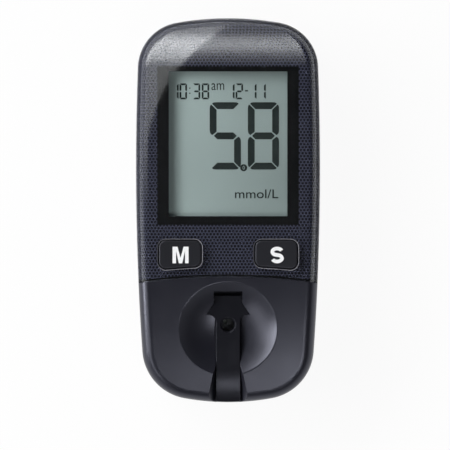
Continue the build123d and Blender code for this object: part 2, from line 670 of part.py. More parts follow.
with BuildPart() as rear_housing:
    add(OUTER)
    add(CAVITY, mode=Mode.SUBTRACT)
    with BuildSketch():
        Rectangle(2 * WIDTH, 2 * LENGTH)
    extrude(amount=SPLIT_Z, mode=Mode.INTERSECT)
    add(rear_inner_forms.part)
    # the bay's inside, with a ring around the cell left standing
    with BuildSketch(Plane.XY.offset(DOOR_T)):
        add(door_plan(-DOOR_LEDGE))
        with Locations((0, CELL_Y)):
            Circle(CELL_R + CELL_SIDE_GAP + CELL_RING_T, mode=Mode.SUBTRACT)
            Circle(CELL_R + CELL_SIDE_GAP)
    extrude(amount=CEILING_Z - DOOR_T, mode=Mode.SUBTRACT)
    with BuildSketch():
        add(door_plan(DOOR_GAP))
    extrude(amount=DOOR_SEAT_Z, mode=Mode.SUBTRACT)
    # gaps in the ring for the side contact and for the door's catch
    with BuildSketch(Plane.XY.offset(DOOR_T)):
        with Locations((0, CELL_Y)):
            Rectangle(
                DOOR_W / 2 - DOOR_LEDGE,
                LEAF_W + 2 * CELL_SIDE_GAP,
                align=(Align.MIN, Align.CENTER),
            )
        with Locations((0, CELL_Y)):
            Rectangle(
                CATCH_W + 2 * CATCH_SWING,
                DOOR_TOP_Y - DOOR_LEDGE - CELL_Y,
                align=(Align.CENTER, Align.MIN),
            )
    extrude(amount=CEILING_Z - DOOR_T, mode=Mode.SUBTRACT)
    # slots for the contacts, through the bay's ceiling
    with BuildSketch(Plane.XY.offset(CEILING_Z)):
        with Locations((POSITIVE_X + LEAF_T / 2, CELL_Y)):
            Rectangle(LEAF_T + 2 * CELL_SIDE_GAP, LEAF_W + 2 * CELL_SIDE_GAP)
        with Locations((0, NEGATIVE_Y)):
            Rectangle(LEAF_W + 2 * CELL_SIDE_GAP, LEAF_T + 2 * CELL_SIDE_GAP)
    extrude(amount=BAY_CEILING, mode=Mode.SUBTRACT)
    # pockets that the door's hooks swing in
    with BuildSketch(Plane.XY.offset(DOOR_SEAT_Z)):
        for x in (-HOOK_X, HOOK_X):
            with Locations((x, DOOR_LOW_Y + DOOR_LEDGE)):
                Rectangle(
                    HOOK_W + 2 * HOOK_GAP,
                    DOOR_LEDGE + HOOK_REACH + 2 * HOOK_GAP,
                    align=(Align.CENTER, Align.MAX),
                )
    extrude(amount=HOOK_T + HOOK_REACH + HOOK_GAP, mode=Mode.SUBTRACT)
    # screw holes with recessed seats, and the label's recess
    with BuildSketch():
        with Locations(*SCREW_SPOTS):
            Circle(SCREW_HOLE_R)
    extrude(amount=SPLIT_Z, mode=Mode.SUBTRACT)
    with BuildSketch():
        with Locations(*SCREW_SPOTS):
            Circle(SCREW_HEAD_R + HEAD_GAP)
    extrude(amount=SCREW_SEAT_Z, mode=Mode.SUBTRACT)
    with BuildSketch():
        with Locations((0, LABEL_Y)):
            RectangleRounded(LABEL_W + 2 * FIT_GAP, LABEL_L + 2 * FIT_GAP, LABEL_R + FIT_GAP)
    extrude(amount=LABEL_SINK, mode=Mode.SUBTRACT)

# ================================================================ battery door
with BuildPart() as battery_door:
    with BuildSketch():
        add(door_plan(0))
    extrude(amount=DOOR_T)
    # ribs under the cell
    with BuildSketch(Plane.XY.offset(DOOR_T)):
        with Locations((0, CELL_Y)):
            with GridLocations(CELL_R, 0, 2, 1):
                Rectangle(WALL, CELL_R)
    extrude(amount=CELL_Z - DOOR_T - RUN_GAP)
    # hooks over the edge of the housing
    with BuildSketch(Plane.XY.offset(DOOR_SEAT_Z + HOOK_GAP)):
        for x in (-HOOK_X, HOOK_X):
            with Locations((x, DOOR_LOW_Y + HOOK_ROOT)):
                Rectangle(HOOK_W, HOOK_ROOT + HOOK_REACH, align=(Align.CENTER, Align.MAX))
    extrude(amount=HOOK_T)
    with BuildSketch():
        for x in (-HOOK_X, HOOK_X):
            with Locations((x, DOOR_LOW_Y)):
                Rectangle(HOOK_W, HOOK_ROOT, align=(Align.CENTER, Align.MIN))
    extrude(amount=DOOR_SEAT_Z + HOOK_GAP + HOOK_T)
    # spring catch
    with BuildSketch(Plane.XY.offset(DOOR_T)):
        with Locations((0, CATCH_Y)):
            Rectangle(CATCH_W, CATCH_T)
    extrude(amount=CATCH_UP)
    # grip grooves on the outside
    with BuildSketch():
        with Locations((0, CATCH_Y - GRIP_COUNT * GRIP_PITCH / 2)):
            with GridLocations(0, GRIP_PITCH, 1, GRIP_COUNT):
                SlotOverall(GRIP_W, GRIP_L)
    extrude(amount=GRIP_DEPTH, mode=Mode.SUBTRACT)

# ================================================================ cover of the strip guide
with BuildPart() as cover_plate:
    with BuildSketch(Plane.XY.offset(BED_Z)):
        add(cover_plan(0))
    extrude(amount=THICKNESS)
    add(side_extrusion(channel_profile(GUIDE_Z, COVER_T)), mode=Mode.INTERSECT)
    add(OUTER, mode=Mode.INTERSECT)

skirt_low_z = GUIDE_Z - GUIDE_SKIRT
with BuildPart() as strip_guide_cover:
    # drafted sides of the rail, clear of the bowl and of the ridge between them
    with BuildSketch(Plane.XZ.offset(-SHOULDER_Y)):
        skirt_half = GUIDE_HALF + GUIDE_DRAFT * GUIDE_SKIRT
        add(trapezoid(skirt_low_z, skirt_half, GUIDE_Z, GUIDE_HALF))
    extrude(amount=SHOULDER_Y - BOWL_Y + BOWL_R)
    with Locations(BOWL_CENTRE):
        Sphere(BOWL_SPHERE_R - COVER_GAP, mode=Mode.INTERSECT)
    with BuildSketch(Plane.XZ.offset(-SHOULDER_Y)):
        ridge_half = RIDGE_HALF + COVER_GAP
        add(trapezoid(skirt_low_z, ridge_half, GUIDE_Z - COVER_T, ridge_half))
    extrude(amount=SHOULDER_Y - BOWL_Y + BOWL_R, mode=Mode.SUBTRACT)
    add(cover_plate.part)
    # measuring port and hinge pins
    with BuildSketch(Plane.XY.offset(GUIDE_Z)):
        with Locations((0, PORT_Y)):
            Circle(PORT_R)
    extrude(amount=-COVER_T, mode=Mode.SUBTRACT)
    port_rim = strip_guide_cover.edges().filter_by(GeomType.CIRCLE).filter_by(
        lambda e: abs(e.radius - PORT_R) < LAYER_GAP
    )
    chamfer(port_rim.sort_by(Axis.Z)[-1], PORT_CHAMFER)
    with BuildSketch(Plane.YZ):
        with Locations((PIN_Y, PIN_Z)):
            Circle(COVER_PIN_R)
    extrude(amount=HEAD_HALF + COVER_PIN_L, both=True)

# ================================================================ buttons and their switches
plunger_low_z = BOARD_TOP_Z + SWITCH_T - PLUNGER_DEEP
plunger_top_z = BOARD_TOP_Z + SWITCH_T + PLUNGER_UP
flange_z = UNDER_WALL_Z - RUN_GAP - FLANGE_T
pieces = {}
for name, side in SIDES.items():
    with BuildPart() as button:
        with BuildSketch(Plane.XY.offset(flange_z)):
            add(button_outline(side))
        extrude(amount=THICKNESS - flange_z)
        fillet(button.faces().sort_by(Axis.Z)[-1].edges(), BUTTON_EDGE_R)
        with BuildSketch(Plane.XY.offset(flange_z)):
            add(button_outline(side, FLANGE_OUT))
        extrude(amount=FLANGE_T)
        with BuildSketch(Plane.XY.offset(plunger_top_z)):
            with Locations((side * BUTTON_X, BUTTON_Y)):
                Circle(STEM_R)
        extrude(amount=flange_z - plunger_top_z)
    with BuildPart() as switch_plunger:
        with BuildSketch(Plane.XY.offset(plunger_low_z)):
            with Locations((side * BUTTON_X, BUTTON_Y)):
                Circle(PLUNGER_R)
        extrude(amount=plunger_top_z - plunger_low_z)
    with BuildPart() as switch_body:
        with BuildSketch(Plane.XY.offset(BOARD_TOP_Z)):
            with Locations((side * BUTTON_X, BUTTON_Y)):
                Rectangle(SWITCH_W, SWITCH_W)
        extrude(amount=SWITCH_T)
        with BuildSketch(Plane.XY.offset(plunger_low_z - BUTTON_TRAVEL - FIT_GAP)):
            with Locations((side * BUTTON_X, BUTTON_Y)):
                Circle(PLUNGER_R + RUN_GAP)
        extrude(amount=SWITCH_T, mode=Mode.SUBTRACT)
    pieces[f"{name}_button"] = button
    pieces[f"{name}_switch_plunger"] = switch_plunger
    pieces[f"{name}_switch_body"] = switch_body

# ================================================================ display
with BuildPart() as lcd_front_glass:
    with BuildSketch(Plane.XY.offset(GLASS_JOIN_Z)):
        add(window_plan(GLASS_SIDE_OUT, LEDGE_OUT))
    extrude(amount=GLASS_T)

with BuildPart() as lcd_rear_glass:
    with BuildSketch(Plane.XY.offset(GLASS_LOW_Z)):
        add(window_plan(GLASS_SIDE_OUT, REAR_GLASS_OUT))
    extrude(amount=GLASS_T)

with BuildPart() as lcd_front_polariser:
    with BuildSketch(Plane.XY.offset(GLASS_TOP_Z)):
        add(window_plan(POLARISER_OUT, POLARISER_OUT))
    extrude(amount=POLARISER_T)

with BuildPart() as lcd_rear_polariser:
    with BuildSketch(Plane.XY.offset(SHELF_Z)):
        add(window_plan(POLARISER_OUT, POLARISER_OUT))
    extrude(amount=POLARISER_T)

with BuildPart() as window_gasket:
    gasket_in = POLARISER_OUT + FIT_GAP
    with BuildSketch(Plane.XY.offset(GLASS_TOP_Z)):
        add(window_plan(gasket_in + GASKET_W, gasket_in + GASKET_W))
        add(window_plan(gasket_in, gasket_in), mode=Mode.SUBTRACT)
    extrude(amount=GASKET_T - LAYER_GAP)

zebra_out = (LEDGE_OUT + REAR_GLASS_OUT) / 2  # middle of each contact ledge, beyond the window
zebra_half = WINDOW_HALF + GLASS_SIDE_OUT - HOLDER_WALL
zebra_places = {"upper": WINDOW_TOP_Y + zebra_out, "lower": WINDOW_BOTTOM_Y - zebra_out}

with BuildPart() as lcd_holder:
    with BuildSketch(Plane.XY.offset(BOARD_TOP_Z)):
        holder_out = FIT_GAP + HOLDER_WALL
        add(window_plan(GLASS_SIDE_OUT + holder_out, LEDGE_OUT + holder_out))
    extrude(amount=GLASS_TOP_Z - GLASS_T / 2 - BOARD_TOP_Z)
    with BuildSketch(Plane.XY.offset(GLASS_JOIN_Z)):
        add(window_plan(GLASS_SIDE_OUT + FIT_GAP, LEDGE_OUT + FIT_GAP))
    extrude(amount=GLASS_T, mode=Mode.SUBTRACT)
    with BuildSketch(Plane.XY.offset(SHELF_Z)):
        add(window_plan(GLASS_SIDE_OUT + FIT_GAP, REAR_GLASS_OUT + FIT_GAP))
    extrude(amount=GLASS_T + POLARISER_T, mode=Mode.SUBTRACT)
    with BuildSketch(Plane.XY.offset(BOARD_TOP_Z)):
        add(window_plan(GLASS_SIDE_OUT + FIT_GAP, REAR_GLASS_OUT - HOLDER_WALL / 2))
    extrude(amount=SHELF_Z - HOLDER_SHELF - BOARD_TOP_Z, mode=Mode.SUBTRACT)
    with BuildSketch(Plane.XY.offset(BOARD_TOP_Z)):
        with Locations(*[(0, y) for y in zebra_places.values()]):
            Rectangle(2 * (zebra_half + FIT_GAP), ZEBRA_W + 2 * FIT_GAP)
    extrude(amount=THICKNESS, mode=Mode.SUBTRACT)

for name, y in zebra_places.items():
    with BuildPart() as zebra_strip:
        with BuildSketch(Plane.XY.offset(BOARD_TOP_Z)):
            with Locations((0, y)):
                Rectangle(2 * zebra_half, ZEBRA_W)
        extrude(amount=GLASS_JOIN_Z - BOARD_TOP_Z)
    pieces[f"zebra_strip_{name}"] = zebra_strip

# ================================================================ circuit board
with BuildPart() as main_board:
    with BuildSketch(Plane.XY.offset(SPLIT_Z)):
        add(body_outline(BOARD_INSET))
        with Locations(*SCREW_SPOTS):
            Circle(REAR_BOSS_R + BOARD_GAP, mode=Mode.SUBTRACT)
    extrude(amount=BOARD_T)

for name, (width, length, height, x, up) in CHIPS.items():
    with BuildPart() as chip:
        with BuildSketch(Plane.XY.offset(BOARD_TOP_Z)):
            with Locations((x, WINDOW_Y + up)):
                Rectangle(width, length)
        extrude(amount=height)
    pieces[name] = chip

with BuildPart() as buzzer:
    with BuildSketch(Plane.XY.offset(BOARD_TOP_Z)):
        with Locations((BUZZER_SIDE - WIDTH / 2, BOWL_Y + BUZZER_UP)):
            Rectangle(BUZZER_W, BUZZER_W)
    extrude(amount=BUZZER_T)

with BuildPart() as capacitors:
    with BuildSketch(Plane.XY.offset(BOARD_TOP_Z)):
        with Locations((0, WINDOW_Y - CAPACITOR_DOWN)):
            with GridLocations(CAPACITOR_PITCH, 0, CAPACITOR_COUNT, 1):
                Rectangle(CAPACITOR[0], CAPACITOR[1])
    extrude(amount=CAPACITOR[2])

with BuildPart() as resistors:
    with BuildSketch(Plane.XY.offset(BOARD_TOP_Z)):
        with Locations((WIDTH / 2 - RESISTOR_SIDE, BOWL_Y)):
            with GridLocations(0, RESISTOR_PITCH, 1, RESISTOR_COUNT):
                Rectangle(RESISTOR[0], RESISTOR[1])
    extrude(amount=RESISTOR[2])

# ================================================================ optics
with BuildPart() as measuring_window:
    with BuildSketch(Plane.XY.offset(LENS_Z)):
        with Locations((0, PORT_Y)):
            Circle(LENS_R)
    extrude(amount=LENS_T)

with BuildPart() as optics_block:
    with BuildSketch(Plane.XY.offset(BOARD_TOP_Z)):
        with Locations((0, PORT_Y)):
            Rectangle(OPTICS_W, OPTICS_L)
        with Locations(*ROD_SPOTS):
            Circle(ROD_R + RUN_GAP, mode=Mode.SUBTRACT)
    extrude(amount=OPTICS_TOP_Z - BOARD_TOP_Z)
    with BuildSketch(Plane.XY.offset(BOARD_TOP_Z)):
        with Locations(*ROD_SPOTS):
            Rectangle(EMITTER_W + 2 * RUN_GAP, EMITTER_W + 2 * RUN_GAP)
    extrude(amount=EMITTER_T + FIT_GAP, mode=Mode.SUBTRACT)

with BuildPart() as light_guides:
    rod_low_z = BOARD_TOP_Z + EMITTER_T + RUN_GAP
    with BuildSketch(Plane.XY.offset(rod_low_z)):
        with Locations(*ROD_SPOTS):
            Circle(ROD_R)
    extrude(amount=LENS_Z - RUN_GAP - rod_low_z)

for name, spot in zip(("measuring_led", "photodiode"), ROD_SPOTS):
    with BuildPart() as emitter:
        with BuildSketch(Plane.XY.offset(BOARD_TOP_Z)):
            with Locations(spot):
                Rectangle(EMITTER_W, EMITTER_W)
        extrude(amount=EMITTER_T)
    pieces[name] = emitter

# ================================================================ strip sensing
sense_low_z = BOARD_TOP_Z + SENSE_BODY_T - PLUNGER_DEEP
with BuildPart() as strip_sense_pin:
    with BuildSketch(Plane.XY.offset(sense_low_z)):
        with Locations((0, SENSE_Y)):
            Circle(SENSE_PIN_R)
    extrude(amount=GUIDE_Z + SENSE_PIN_UP - sense_low_z)
    fillet(strip_sense_pin.edges().sort_by(Axis.Z)[-1], SENSE_PIN_R / 2)

with BuildPart() as strip_switch_body:
    with BuildSketch(Plane.XY.offset(BOARD_TOP_Z)):
        with Locations((0, SENSE_Y)):
            Rectangle(SENSE_BODY_W, SENSE_BODY_W)
    extrude(amount=SENSE_BODY_T)
    with BuildSketch(Plane.XY.offset(sense_low_z - SENSE_PIN_UP - FIT_GAP)):
        with Locations((0, SENSE_Y)):
            Circle(SENSE_PIN_R + RUN_GAP)
    extrude(amount=SENSE_BODY_T, mode=Mode.SUBTRACT)

# ================================================================ screws
with BuildPart() as housing_screws:
    with BuildSketch(Plane.XY.offset(SCREW_SEAT_Z)):
        with Locations(*SCREW_SPOTS):
            Circle(SCREW_R)
    extrude(amount=SCREW_L)
    with BuildSketch(Plane.XY.offset(SCREW_SEAT_Z)):
        with Locations(*SCREW_SPOTS):
            Circle(SCREW_HEAD_R)
    extrude(amount=-SCREW_HEAD_T)
    with BuildSketch(Plane.XY.offset(SCREW_SEAT_Z - SCREW_HEAD_T)):
        with Locations(*SCREW_SPOTS):
            Rectangle(2 * SCREW_DRIVE_R, SCREW_DRIVE_R / 2)
            Rectangle(SCREW_DRIVE_R / 2, 2 * SCREW_DRIVE_R)
    extrude(amount=SCREW_DRIVE_R, mode=Mode.SUBTRACT)

# ================================================================ coin cell and its contacts
can_floor_z = CELL_Z + CELL_SKIN
can_top_z = CELL_TOP_Z - CELL_CAP_UP
with BuildPart() as coin_cell_can:
    with BuildSketch(Plane.XY.offset(CELL_Z)):
        with Locations((0, CELL_Y)):
            Circle(CELL_R)
    extrude(amount=can_top_z - CELL_Z)
    fillet(coin_cell_can.edges().sort_by(Axis.Z)[0], CELL_SKIN)
    with BuildSketch(Plane.XY.offset(can_floor_z)):
        with Locations((0, CELL_Y)):
            Circle(CELL_R - CELL_SKIN)
    extrude(amount=CELL_T, mode=Mode.SUBTRACT)

with BuildPart() as coin_cell_cap:
    with BuildSketch(Plane.XY.offset(can_floor_z + RUN_GAP)):
        with Locations((0, CELL_Y)):
            Circle(CELL_CAP_R)
    extrude(amount=CELL_TOP_Z - can_floor_z - RUN_GAP)
    fillet(coin_cell_cap.edges().sort_by(Axis.Z)[-1], CELL_CAP_UP / 2)

with BuildPart() as coin_cell_gasket:
    with BuildSketch(Plane.XY.offset(can_floor_z)):
        with Locations((0, CELL_Y)):
            Circle(CELL_R - CELL_SKIN - PILOT_GAP)
            Circle(CELL_CAP_R + PILOT_GAP, mode=Mode.SUBTRACT)
    extrude(amount=can_top_z - can_floor_z + RUN_GAP)

with BuildPart() as battery_contact_positive:
    with BuildSketch(Plane.XZ.offset(-CELL_Y)):
        with Locations((POSITIVE_X, SPLIT_Z)):
            Rectangle(LEAF_T, SPLIT_Z - can_floor_z, align=(Align.MIN, Align.MAX))
            Rectangle(LEAF_FOOT, LEAF_T, align=(Align.MIN, Align.MAX))
    extrude(amount=LEAF_W / 2, both=True)

with BuildPart() as battery_contact_negative:
    with BuildSketch(Plane.YZ):
        with Locations((NEGATIVE_Y + LEAF_T / 2, SPLIT_Z)):
            Rectangle(LEAF_T, SPLIT_Z - NEGATIVE_Z, align=(Align.MAX, Align.MAX))
            Rectangle(LEAF_FOOT, LEAF_T, align=(Align.MAX, Align.MAX))
        with Locations((NEGATIVE_Y - LEAF_T / 2, NEGATIVE_Z)):
            Rectangle(NEGATIVE_REACH + LEAF_FOOT, LEAF_T, align=(Align.MIN, Align.MIN))
    extrude(amount=LEAF_W / 2, both=True)

# ================================================================ data socket and label
with BuildPart() as usb_shell:
    with BuildSketch(Plane.XZ.offset(-USB_FRONT_Y)):
        with Locations((0, BOARD_TOP_Z)):
            Rectangle(USB_W, USB_H, align=(Align.CENTER, Align.MIN))
    extrude(amount=USB_L)
    chamfer(usb_shell.edges().filter_by(Axis.Y).group_by(Axis.Z)[-1], USB_H / 4)
    offset(amount=-USB_SKIN, openings=usb_shell.faces().sort_by(Axis.Y)[-1])

with BuildPart() as usb_tongue:
    with BuildSketch(Plane.XZ.offset(-USB_BACK_Y - USB_SKIN)):
        with Locations((0, BOARD_TOP_Z + USB_H / 2)):
            Rectangle(USB_W / 2, 2 * USB_SKIN)
    extrude(amount=-(USB_L - USB_SKIN - USB_SETBACK))

with BuildPart() as back_label:
    with BuildSketch(Plane.XY.offset(LABEL_SINK)):
        with Locations((0, LABEL_Y)):
            RectangleRounded(LABEL_W, LABEL_L, LABEL_R)
    extrude(amount=-LABEL_T)

# ================================================================ labels and files
pieces |= {
    "rear_housing": rear_housing,
    "front_housing": front_housing,
    "faceplate": faceplate,
    "decor_film": decor_film,
    "battery_door": battery_door,
    "strip_guide_cover": strip_guide_cover,
    "lcd_front_glass": lcd_front_glass,
    "lcd_rear_glass": lcd_rear_glass,
    "lcd_front_polariser": lcd_front_polariser,
    "lcd_rear_polariser": lcd_rear_polariser,
    "window_gasket": window_gasket,
    "lcd_holder": lcd_holder,
    "main_board": main_board,
    "buzzer": buzzer,
    "capacitors": capacitors,
    "resistors": resistors,
    "measuring_window": measuring_window,
    "optics_block": optics_block,
    "light_guides": light_guides,
    "strip_sense_pin": strip_sense_pin,
    "strip_switch_body": strip_switch_body,
    "housing_screws": housing_screws,
    "coin_cell_can": coin_cell_can,
    "coin_cell_cap": coin_cell_cap,
    "coin_cell_gasket": coin_cell_gasket,
    "battery_contact_positive": battery_contact_positive,
    "battery_contact_negative": battery_contact_negative,
    "usb_shell": usb_shell,
    "usb_tongue": usb_tongue,
    "back_label": back_label,
}
for label, piece in pieces.items():
    piece.part.label = label
    export_step(piece.part, f"parts/{label}.step")
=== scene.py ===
"""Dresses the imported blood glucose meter: print, display, legends, materials and a plain studio."""

import math

import bpy
import numpy as np
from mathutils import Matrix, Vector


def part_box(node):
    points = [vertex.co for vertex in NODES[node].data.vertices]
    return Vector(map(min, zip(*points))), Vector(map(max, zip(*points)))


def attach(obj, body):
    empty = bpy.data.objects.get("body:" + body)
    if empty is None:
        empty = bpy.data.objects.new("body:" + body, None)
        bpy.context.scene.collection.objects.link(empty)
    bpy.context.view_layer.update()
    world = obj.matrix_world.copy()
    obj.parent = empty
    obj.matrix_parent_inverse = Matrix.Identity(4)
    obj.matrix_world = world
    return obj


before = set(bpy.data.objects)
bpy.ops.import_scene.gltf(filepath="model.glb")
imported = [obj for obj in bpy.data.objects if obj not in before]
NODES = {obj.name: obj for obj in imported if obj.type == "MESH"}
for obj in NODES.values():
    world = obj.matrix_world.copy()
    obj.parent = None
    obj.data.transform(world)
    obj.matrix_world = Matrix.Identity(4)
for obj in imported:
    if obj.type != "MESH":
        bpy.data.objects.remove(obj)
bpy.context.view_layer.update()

bl_info = {
    "name": "Glucose Meter Dresser",
    "version": (1, 0, 0),
    "blender": (4, 5, 0),
    "location": "View3D > Sidebar > Meter",
    "description": "Finishes a blood glucose meter: printed front, segment display, legends and studio",
    "category": "Object",
}

MM = 0.001
HOUSING = "housing"
BODIES = {"m": "m_button", "s": "s_button"}


# ======== settings
def number_prop(name, description, default, **more):
    """A number, such as a share or, with unit="POWER", the power of a light."""
    return bpy.props.FloatProperty(name=name, description=description, default=default, **more)


def length_prop(name, description, default_mm, low=0.01, high=100.0):
    """A length held in metres and written here in millimetres."""
    limits = {"min": low * MM, "max": high * MM, "precision": 5}
    return number_prop(name, description, default_mm * MM, **limits, subtype="DISTANCE", unit="LENGTH")


def colour_prop(name, description, default):
    """A linear colour."""
    return bpy.props.FloatVectorProperty(
        name=name,
        description=description,
        default=default,
        size=3,
        min=0.0,
        max=1.0,
        subtype="COLOR",
    )


class MeterCaseSettings(bpy.types.PropertyGroup):
    plastic: colour_prop("Case plastic", "Colour of both housings", (0.0108, 0.0110, 0.0160))
    roughness: number_prop("Roughness", "Gloss of the moulded texture", 0.31, min=0.0, max=1.0)
    grain: length_prop("Grain size", "Size of the moulded texture's cells", 0.16, 0.01, 2.0)
    guide: colour_prop("Guide plastic", "Colour of the strip guide", (0.0042, 0.0043, 0.0062))


class MeterPrintSettings(bpy.types.PropertyGroup):
    pitch: length_prop("Dot pitch", "Distance between printed dots", 0.88, 0.1, 5.0)
    dot: length_prop("Dot radius", "Radius of a printed dot", 0.325, 0.02, 2.0)
    web: colour_prop("Web", "Colour between the dots", (0.0445, 0.0462, 0.0720))
    ink: colour_prop("Dots", "Colour of the dots", (0.0022, 0.0022, 0.0042))
    border: colour_prop("Border", "Colour of the printed border", (0.0008, 0.0010, 0.0013))


class MeterDisplaySettings(bpy.types.PropertyGroup):
    ground: colour_prop("Ground", "Colour of the unlit display", (0.256, 0.309, 0.296))
    ink: colour_prop("Segments", "Colour of a dark segment", (0.011, 0.016, 0.015))
    digit_height: length_prop("Digit height", "Height of the large digits", 17.1, 2.0, 40.0)
    stroke: length_prop("Stroke", "Width of a large segment", 1.75, 0.1, 5.0)


class MeterLegendSettings(bpy.types.PropertyGroup):
    height: length_prop("Letter height", "Height of the button letters", 4.2, 0.5, 10.0)
    ink: colour_prop("Ink", "Colour of the button letters", (0.92, 0.93, 0.94))
    cap: colour_prop("Button", "Colour of the buttons", (0.0165, 0.017, 0.0200))


class MeterStageSettings(bpy.types.PropertyGroup):
    distance: length_prop("Camera distance", "Middle of the meter to the camera", 1200.0, 100.0, 5000.0)
    field: length_prop("Field", "Width that the camera sees at the object", 114.98, 10.0, 1000.0)
    aim_x: length_prop("Aim across", "Point that the camera looks at, across", -0.77, -50.0, 50.0)
    aim_y: length_prop("Aim along", "Point that the camera looks at, along", -3.77, -50.0, 50.0)
    key: number_prop("Key light", "Power of the low light at the left", 22.0, unit="POWER")
    side: number_prop("Side light", "Power of the light nearer the strip end", 0.62, unit="POWER")
    fill: number_prop("Fill light", "Power of the light over the strip end", 0.17, unit="POWER")
    surround: number_prop("Surround", "Strength of the room's plain light", 0.9)


SETTINGS = {
    "meter_case": MeterCaseSettings,
    "meter_print": MeterPrintSettings,
    "meter_display": MeterDisplaySettings,
    "meter_legends": MeterLegendSettings,
    "meter_stage": MeterStageSettings,
}


# ======== meshes
def mesh_points(mesh):
    """The vertices of a mesh as an n by 3 array."""
    points = np.zeros(len(mesh.vertices) * 3)
    mesh.vertices.foreach_get("co", points)
    return points.reshape(-1, 3)


def add_object(name, data):
    """New object at the origin."""
    obj = bpy.data.objects.new(name, data)
    bpy.context.scene.collection.objects.link(obj)
    return obj


def add_piece(name, mesh, material, body):
    """Object for a mesh whose points are at their places. It rides on a body, if one is given."""
    mesh.materials.clear()
    mesh.materials.append(material)
    obj = add_object(name, mesh)
    if body:
        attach(obj, body)
    return obj


def mesh_object(name, vertices, faces, material, body=None, slot=None):
    """Object made of vertices, in metres, and faces."""
    mesh = bpy.data.meshes.new(name)
    mesh.from_pydata(np.asarray(vertices, float).reshape(-1, 3).tolist(), [], faces)
    mesh.validate()
    mesh.update()
    return add_piece(name, mesh, material, body)


def prisms(outlines, low, high):
    """Closed prisms: each outline (anticlockwise x, y points) stands at two heights, low and high,
    with a cap on both and one side face between each point and the next."""
    vertices, faces, start = [], [], 0
    for outline in outlines:
        points = np.asarray(outline, float)
        beyond = np.roll(points, -1, 0)
        twice_area = np.sum(points[:, 0] * beyond[:, 1] - points[:, 1] * beyond[:, 0])
        points = points[::-1] if twice_area < 0 else points
        count = len(points)
        ring = np.arange(count)
        levels = np.repeat([low, high], count)[:, None]
        vertices.append(np.hstack([np.vstack([points, points]), levels]))
        following = np.roll(ring, -1)
        sides = np.stack([ring, following, following + count, ring + count], 1) + start
        faces += [list(ring[::-1] + start), list(ring + count + start), *sides.tolist()]
        start += 2 * count
    return np.vstack(vertices), faces


def rounded(outline, reach, steps=5):
    """An outline with softened corners: each corner becomes the curve (1-t)^2 a + 2t(1-t) c + t^2 b
    between points a and b that lie at its reach along the two sides, or halfway on a short side."""
    corner = np.asarray(outline, float)
    reach = np.maximum(np.broadcast_to(reach, len(corner)), 0.01 * MM)[:, None]

    def leave(side):
        long = np.linalg.norm(side, axis=1, keepdims=True)
        return (corner + side / long * np.minimum(reach, long / 2))[:, None]

    a = leave(np.roll(corner, 1, 0) - corner)
    b = leave(np.roll(corner, -1, 0) - corner)
    t = np.linspace(0, 1, steps)[None, :, None]
    curve = (1 - t) ** 2 * a + 2 * t * (1 - t) * corner[:, None] + t**2 * b
    return curve.reshape(-1, 2)


def stroked(path, width):
    """Outline of a line of even width along a path: its points moved half the width to each side."""
    along = np.gradient(path, axis=0)
    along /= np.linalg.norm(along, axis=1, keepdims=True)
    side = np.stack([-along[:, 1], along[:, 0]], 1) * width / 2
    return np.vstack([path + side, (path - side)[::-1]])


def oval(x, y, across, along, count=48):
    """Points round an ellipse with half widths across (x) and along (y)."""
    turn = np.linspace(0, 2 * math.pi, count, endpoint=False)
    return np.stack([x + across * np.cos(turn), y + along * np.sin(turn)], 1)


def band(loops):
    """A closed ring: each loop (an n by 3 array) is one corner of the ring's section carried all the
    way round, and point i of a loop joins point i + 1 and the same two points of the next loop."""
    count = len(loops[0])
    ring = np.arange(count)
    following = np.roll(ring, -1)
    faces = []
    for i in range(len(loops)):
        a, b = i * count, (i + 1) % len(loops) * count
        faces += np.stack([a + ring, a + following, b + following, b + ring], 1).tolist()
    return np.vstack(loops), faces


def at_level(outline, z):
    """An outline of x, y points lifted to a level."""
    return np.hstack([outline, np.full((len(outline), 1), z)])


# ---- seven-segment digits
LIT = {
    "0": "abcdef",
    "1": "bc",
    "2": "abged",
    "3": "abgcd",
    "5": "afgcd",
    "8": "abcdefg",
}


def segments(width, height, stroke, gap, cut):
    """Outlines of the seven segments of a digit whose lower left corner is at the origin. The top
    one is a bar between two mitres that run from the cut corners to the inner corners, the upper
    left one goes from that mitre to the middle bar, and the rest are mirror images of these two."""
    step = gap / math.sqrt(8)
    mid = height / 2
    soft = 0.08 * stroke
    slant = 0.42 * stroke
    inner = stroke + 2 * step
    top = [(inner, height - stroke), (cut / 2 + step, height - cut / 2 + step), (cut, height)]
    top += [(width - x, y) for x, y in top[::-1]]
    side = [
        (cut / 2 - step, height - cut / 2 - step),
        (0, height - cut),
        (0, mid + slant),
        (slant - step, mid + 2 * step),
        (stroke, mid + stroke / 2 + 2 * step),
        (stroke, height - inner),
    ]
    bar = [(stroke / 2 + 2 * step, mid), (inner, mid + stroke / 2), (width - inner, mid + stroke / 2)]
    bar += [(width - x, height - y) for x, y in bar]
    top = rounded(top, [soft, soft, cut, cut, soft, soft])
    side = rounded(side, [soft, cut, cut, soft, soft, soft])
    bar = rounded(bar, soft)

    def mirrored(points, across, over):
        x, y = points.T
        return np.stack([width - x if across else x, height - y if over else y], 1)

    return {
        "a": top,
        "b": mirrored(side, True, False),
        "c": mirrored(side, True, True),
        "d": mirrored(top, False, True),
        "e": mirrored(side, False, True),
        "f": side,
        "g": bar,
    }


def digit_outlines(text, places, low_y, width, height, stroke, gap, cut):
    """The lit segments of each digit of a text, with the left edge of each digit in places."""
    shapes = segments(width, height, stroke, gap, cut)
    return [
        shapes[letter] + (left, low_y)
        for digit, left in zip(text, places)
        for letter in LIT[digit]
    ]


